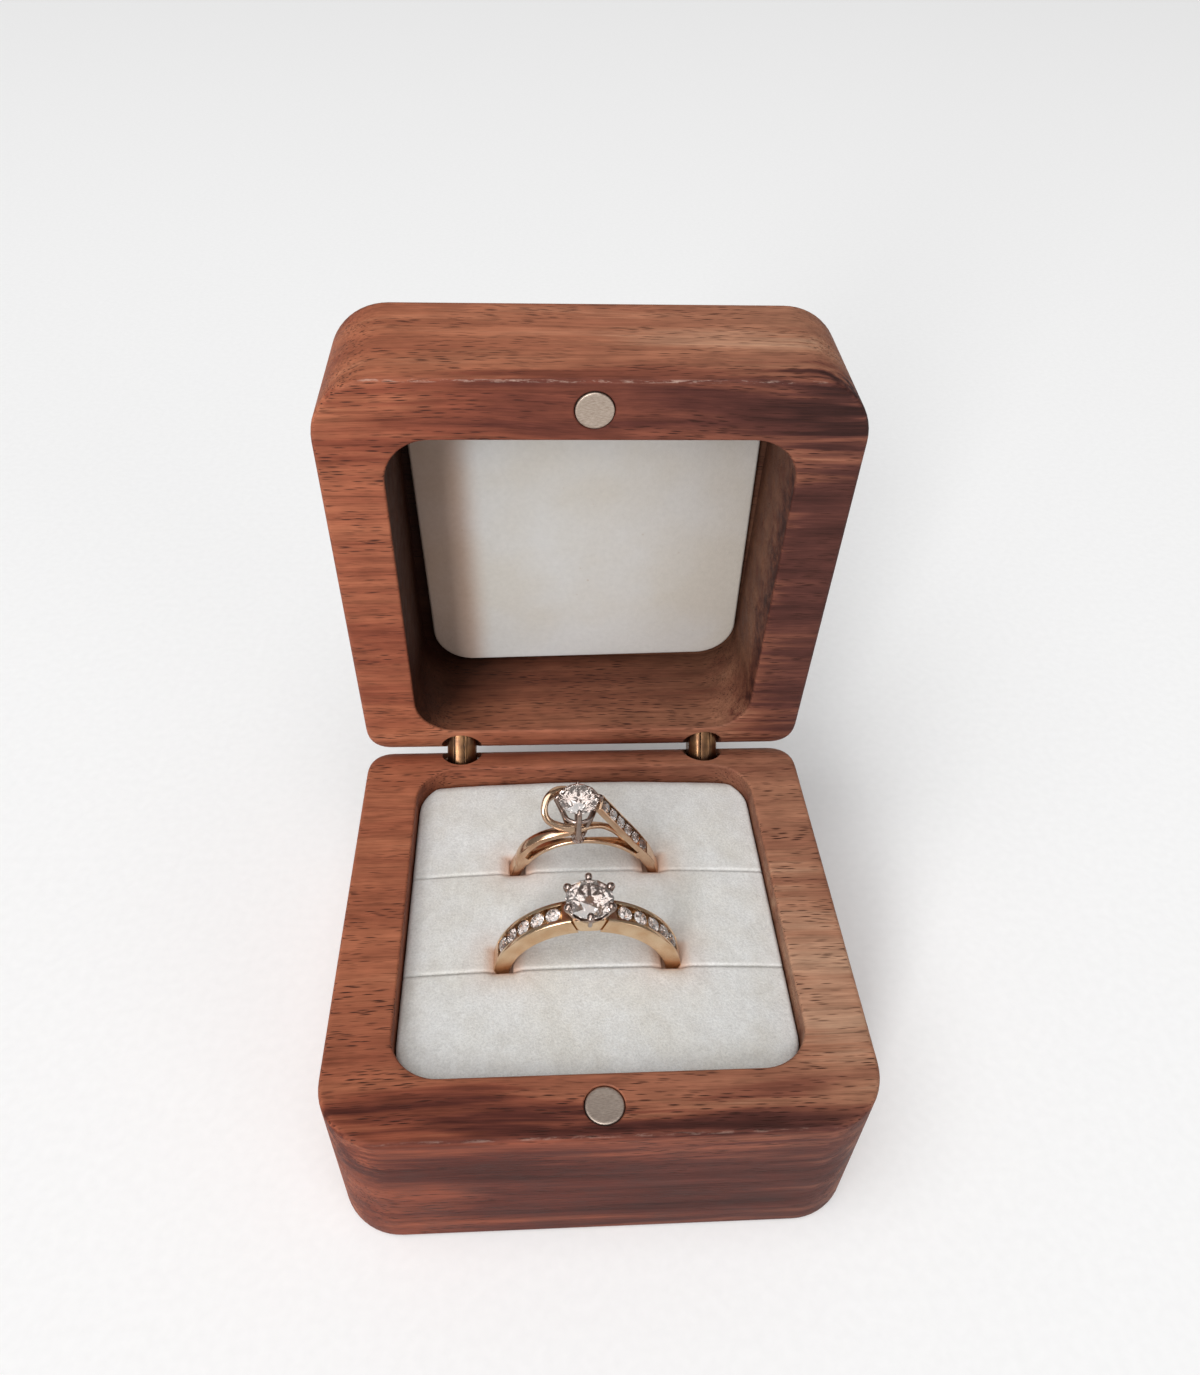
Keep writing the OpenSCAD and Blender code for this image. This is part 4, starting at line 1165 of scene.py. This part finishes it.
# The arm down the right, with a channel for its stones
def armBar(look):
    top, foot = np.array(look["armTop"]), np.array(look["armFoot"])
    length = float(np.linalg.norm(foot - top))
    down = (foot - top) / length
    out = np.array([-down[1], down[0]])
    wide, t, e = look["armHalf"], look["armThick"], look["armEdge"]
    c = look["sideStone"] / 2 + 0.07
    start = look["sideFirst"]
    end = start + look["sideCount"] * look["sidePitch"]
    marks = [start - 0.45, start - 0.36, start - 0.2, start - 0.05, start]
    marks += [start + (end - start) * k / 12 for k in range(1, 13)]
    marks += [end + 0.05, length + 0.1, length + 0.5, length + 1.0, length + 1.6]
    rows = []
    for s in marks:
        groove = 1.0 if start <= s <= end + 1e-6 else 0.0
        sink = 0.0 if s <= length else 0.16 * (s - length)
        slim = 1.0 if s >= start - 0.2 else 1.0 - 8 * (start - 0.2 - s) ** 2
        tilt = look["armTilt"] * min(1.0, max(0.0, (length + 1.2 - s) / 4))
        left = [(-wide + e, -t), (-wide + 0.3 * e, -t + 0.3 * e), (-wide, -t + e), (-wide, -e),
                (-wide + 0.3 * e, -0.3 * e), (-wide + e, 0), (-c - 0.07, 0), (-c, -0.05 * groove),
                (-c + 0.02, -look["channelDepth"] * groove)]
        ring = left + [(-y, h) for y, h in reversed(left)]
        ring = [(y, h + tilt * y if h > -0.9 * t else h) for y, h in ring]
        base = top + down * s - out * sink
        rows.append([(base[0] + out[0] * h * slim, y * slim + look["armShift"], base[1] + out[1] * h * slim)
                     for y, h in ring])
    return loftParts(rows)


# Where the arm's stones sit in its channel
def armPlaces(look):
    (x0, z0), (x1, z1) = look["armTop"], look["armFoot"]
    lie = Matrix.Translation((x0, 0, z0)) @ Matrix.Rotation(math.atan2(z0 - z1, x1 - x0), 4, "Y")
    lean = Matrix.Rotation(math.atan(look["armTilt"]), 4, "X")
    steps = [look["sideFirst"] + (i + 0.5) * look["sidePitch"] for i in range(look["sideCount"])]
    return [lie @ Matrix.Translation((step, look["armShift"], -look["sideDrop"])) @ lean for step in steps]


# The ribbon that winds round the left of the head
def scrollBar(look):
    centre = np.array([look["headX"], 0, look["girdle"]])
    path = [centre + p for p in smoothPath(look["scroll"], 8)]
    rows = []
    for i, p in enumerate(path):
        ahead = headingAt(path, i)
        away = (p - centre) * np.array([1, 1, 0])
        away = away - ahead * float(away @ ahead)
        away = away / np.linalg.norm(away)
        rows.append((p, away * look["scrollHalf"][0], np.cross(ahead, away) * look["scrollHalf"][1]))
    return sweptBar(rows, softSection(20, 3))


def twistHead(look):
    parts = [lathe(look["collar"], 48)]
    for k in range(4):
        stem = look["frontStem" if k == 3 else "stem"]
        tip = look["rearTip" if k == 1 else "tip"]
        parts.append(clawParts(stem + look["middle"] + tip, 90 * k))
    parts.append(torusParts(*look["gallery"]))
    points, faces = joinParts(parts)
    return [(x + look["headX"], y, z) for x, y, z in points], faces


def makeTwist(look):
    r0, r1 = look["inner"], look["outer"]
    domed = [(a, b if b < 0 else b * (1 - 0.35 * a * a)) for a, b in softSection(28, 4)]
    shank = arcBar((r0 + r1) / 2, 46, 308, 150, r1 - r0, look["half"], domed)
    bridge = arcBar(r0 + look["bridge"] / 2, -58, 52, 80, look["bridge"], look["half"], softSection(28, 5),
                    look["bridgeSlim"])
    parts = [shank, bridge, strandBar(look, domed), armBar(look)]
    band = meshPiece("gold_twist_band", *joinParts(parts), roseGold, sharpAngle=40)
    loop = meshPiece("gold_twist_scroll", *scrollBar(look), roseGold, sharpAngle=40)
    head = meshPiece("white_gold_twist_head", *twistHead(look), whiteGold, sharpAngle=50)
    seat = Matrix.Translation((look["headX"], 0, look["girdle"]))
    stone = stonesPiece("diamond_twist", [seat], look["stone"])
    row = stonesPiece("diamond_arm_row", armPlaces(look), look["sideStone"])
    placeRing(look, [(band, "rose_gold", "twist_band"), (loop, "rose_gold", "twist_scroll"),
                     (head, "white_gold", "twist_head"), (stone, "diamond", "twist_stone"),
                     (row, "diamond", "twist_side_stones")])


makeTwist(twistSet)
print("twist ring made")
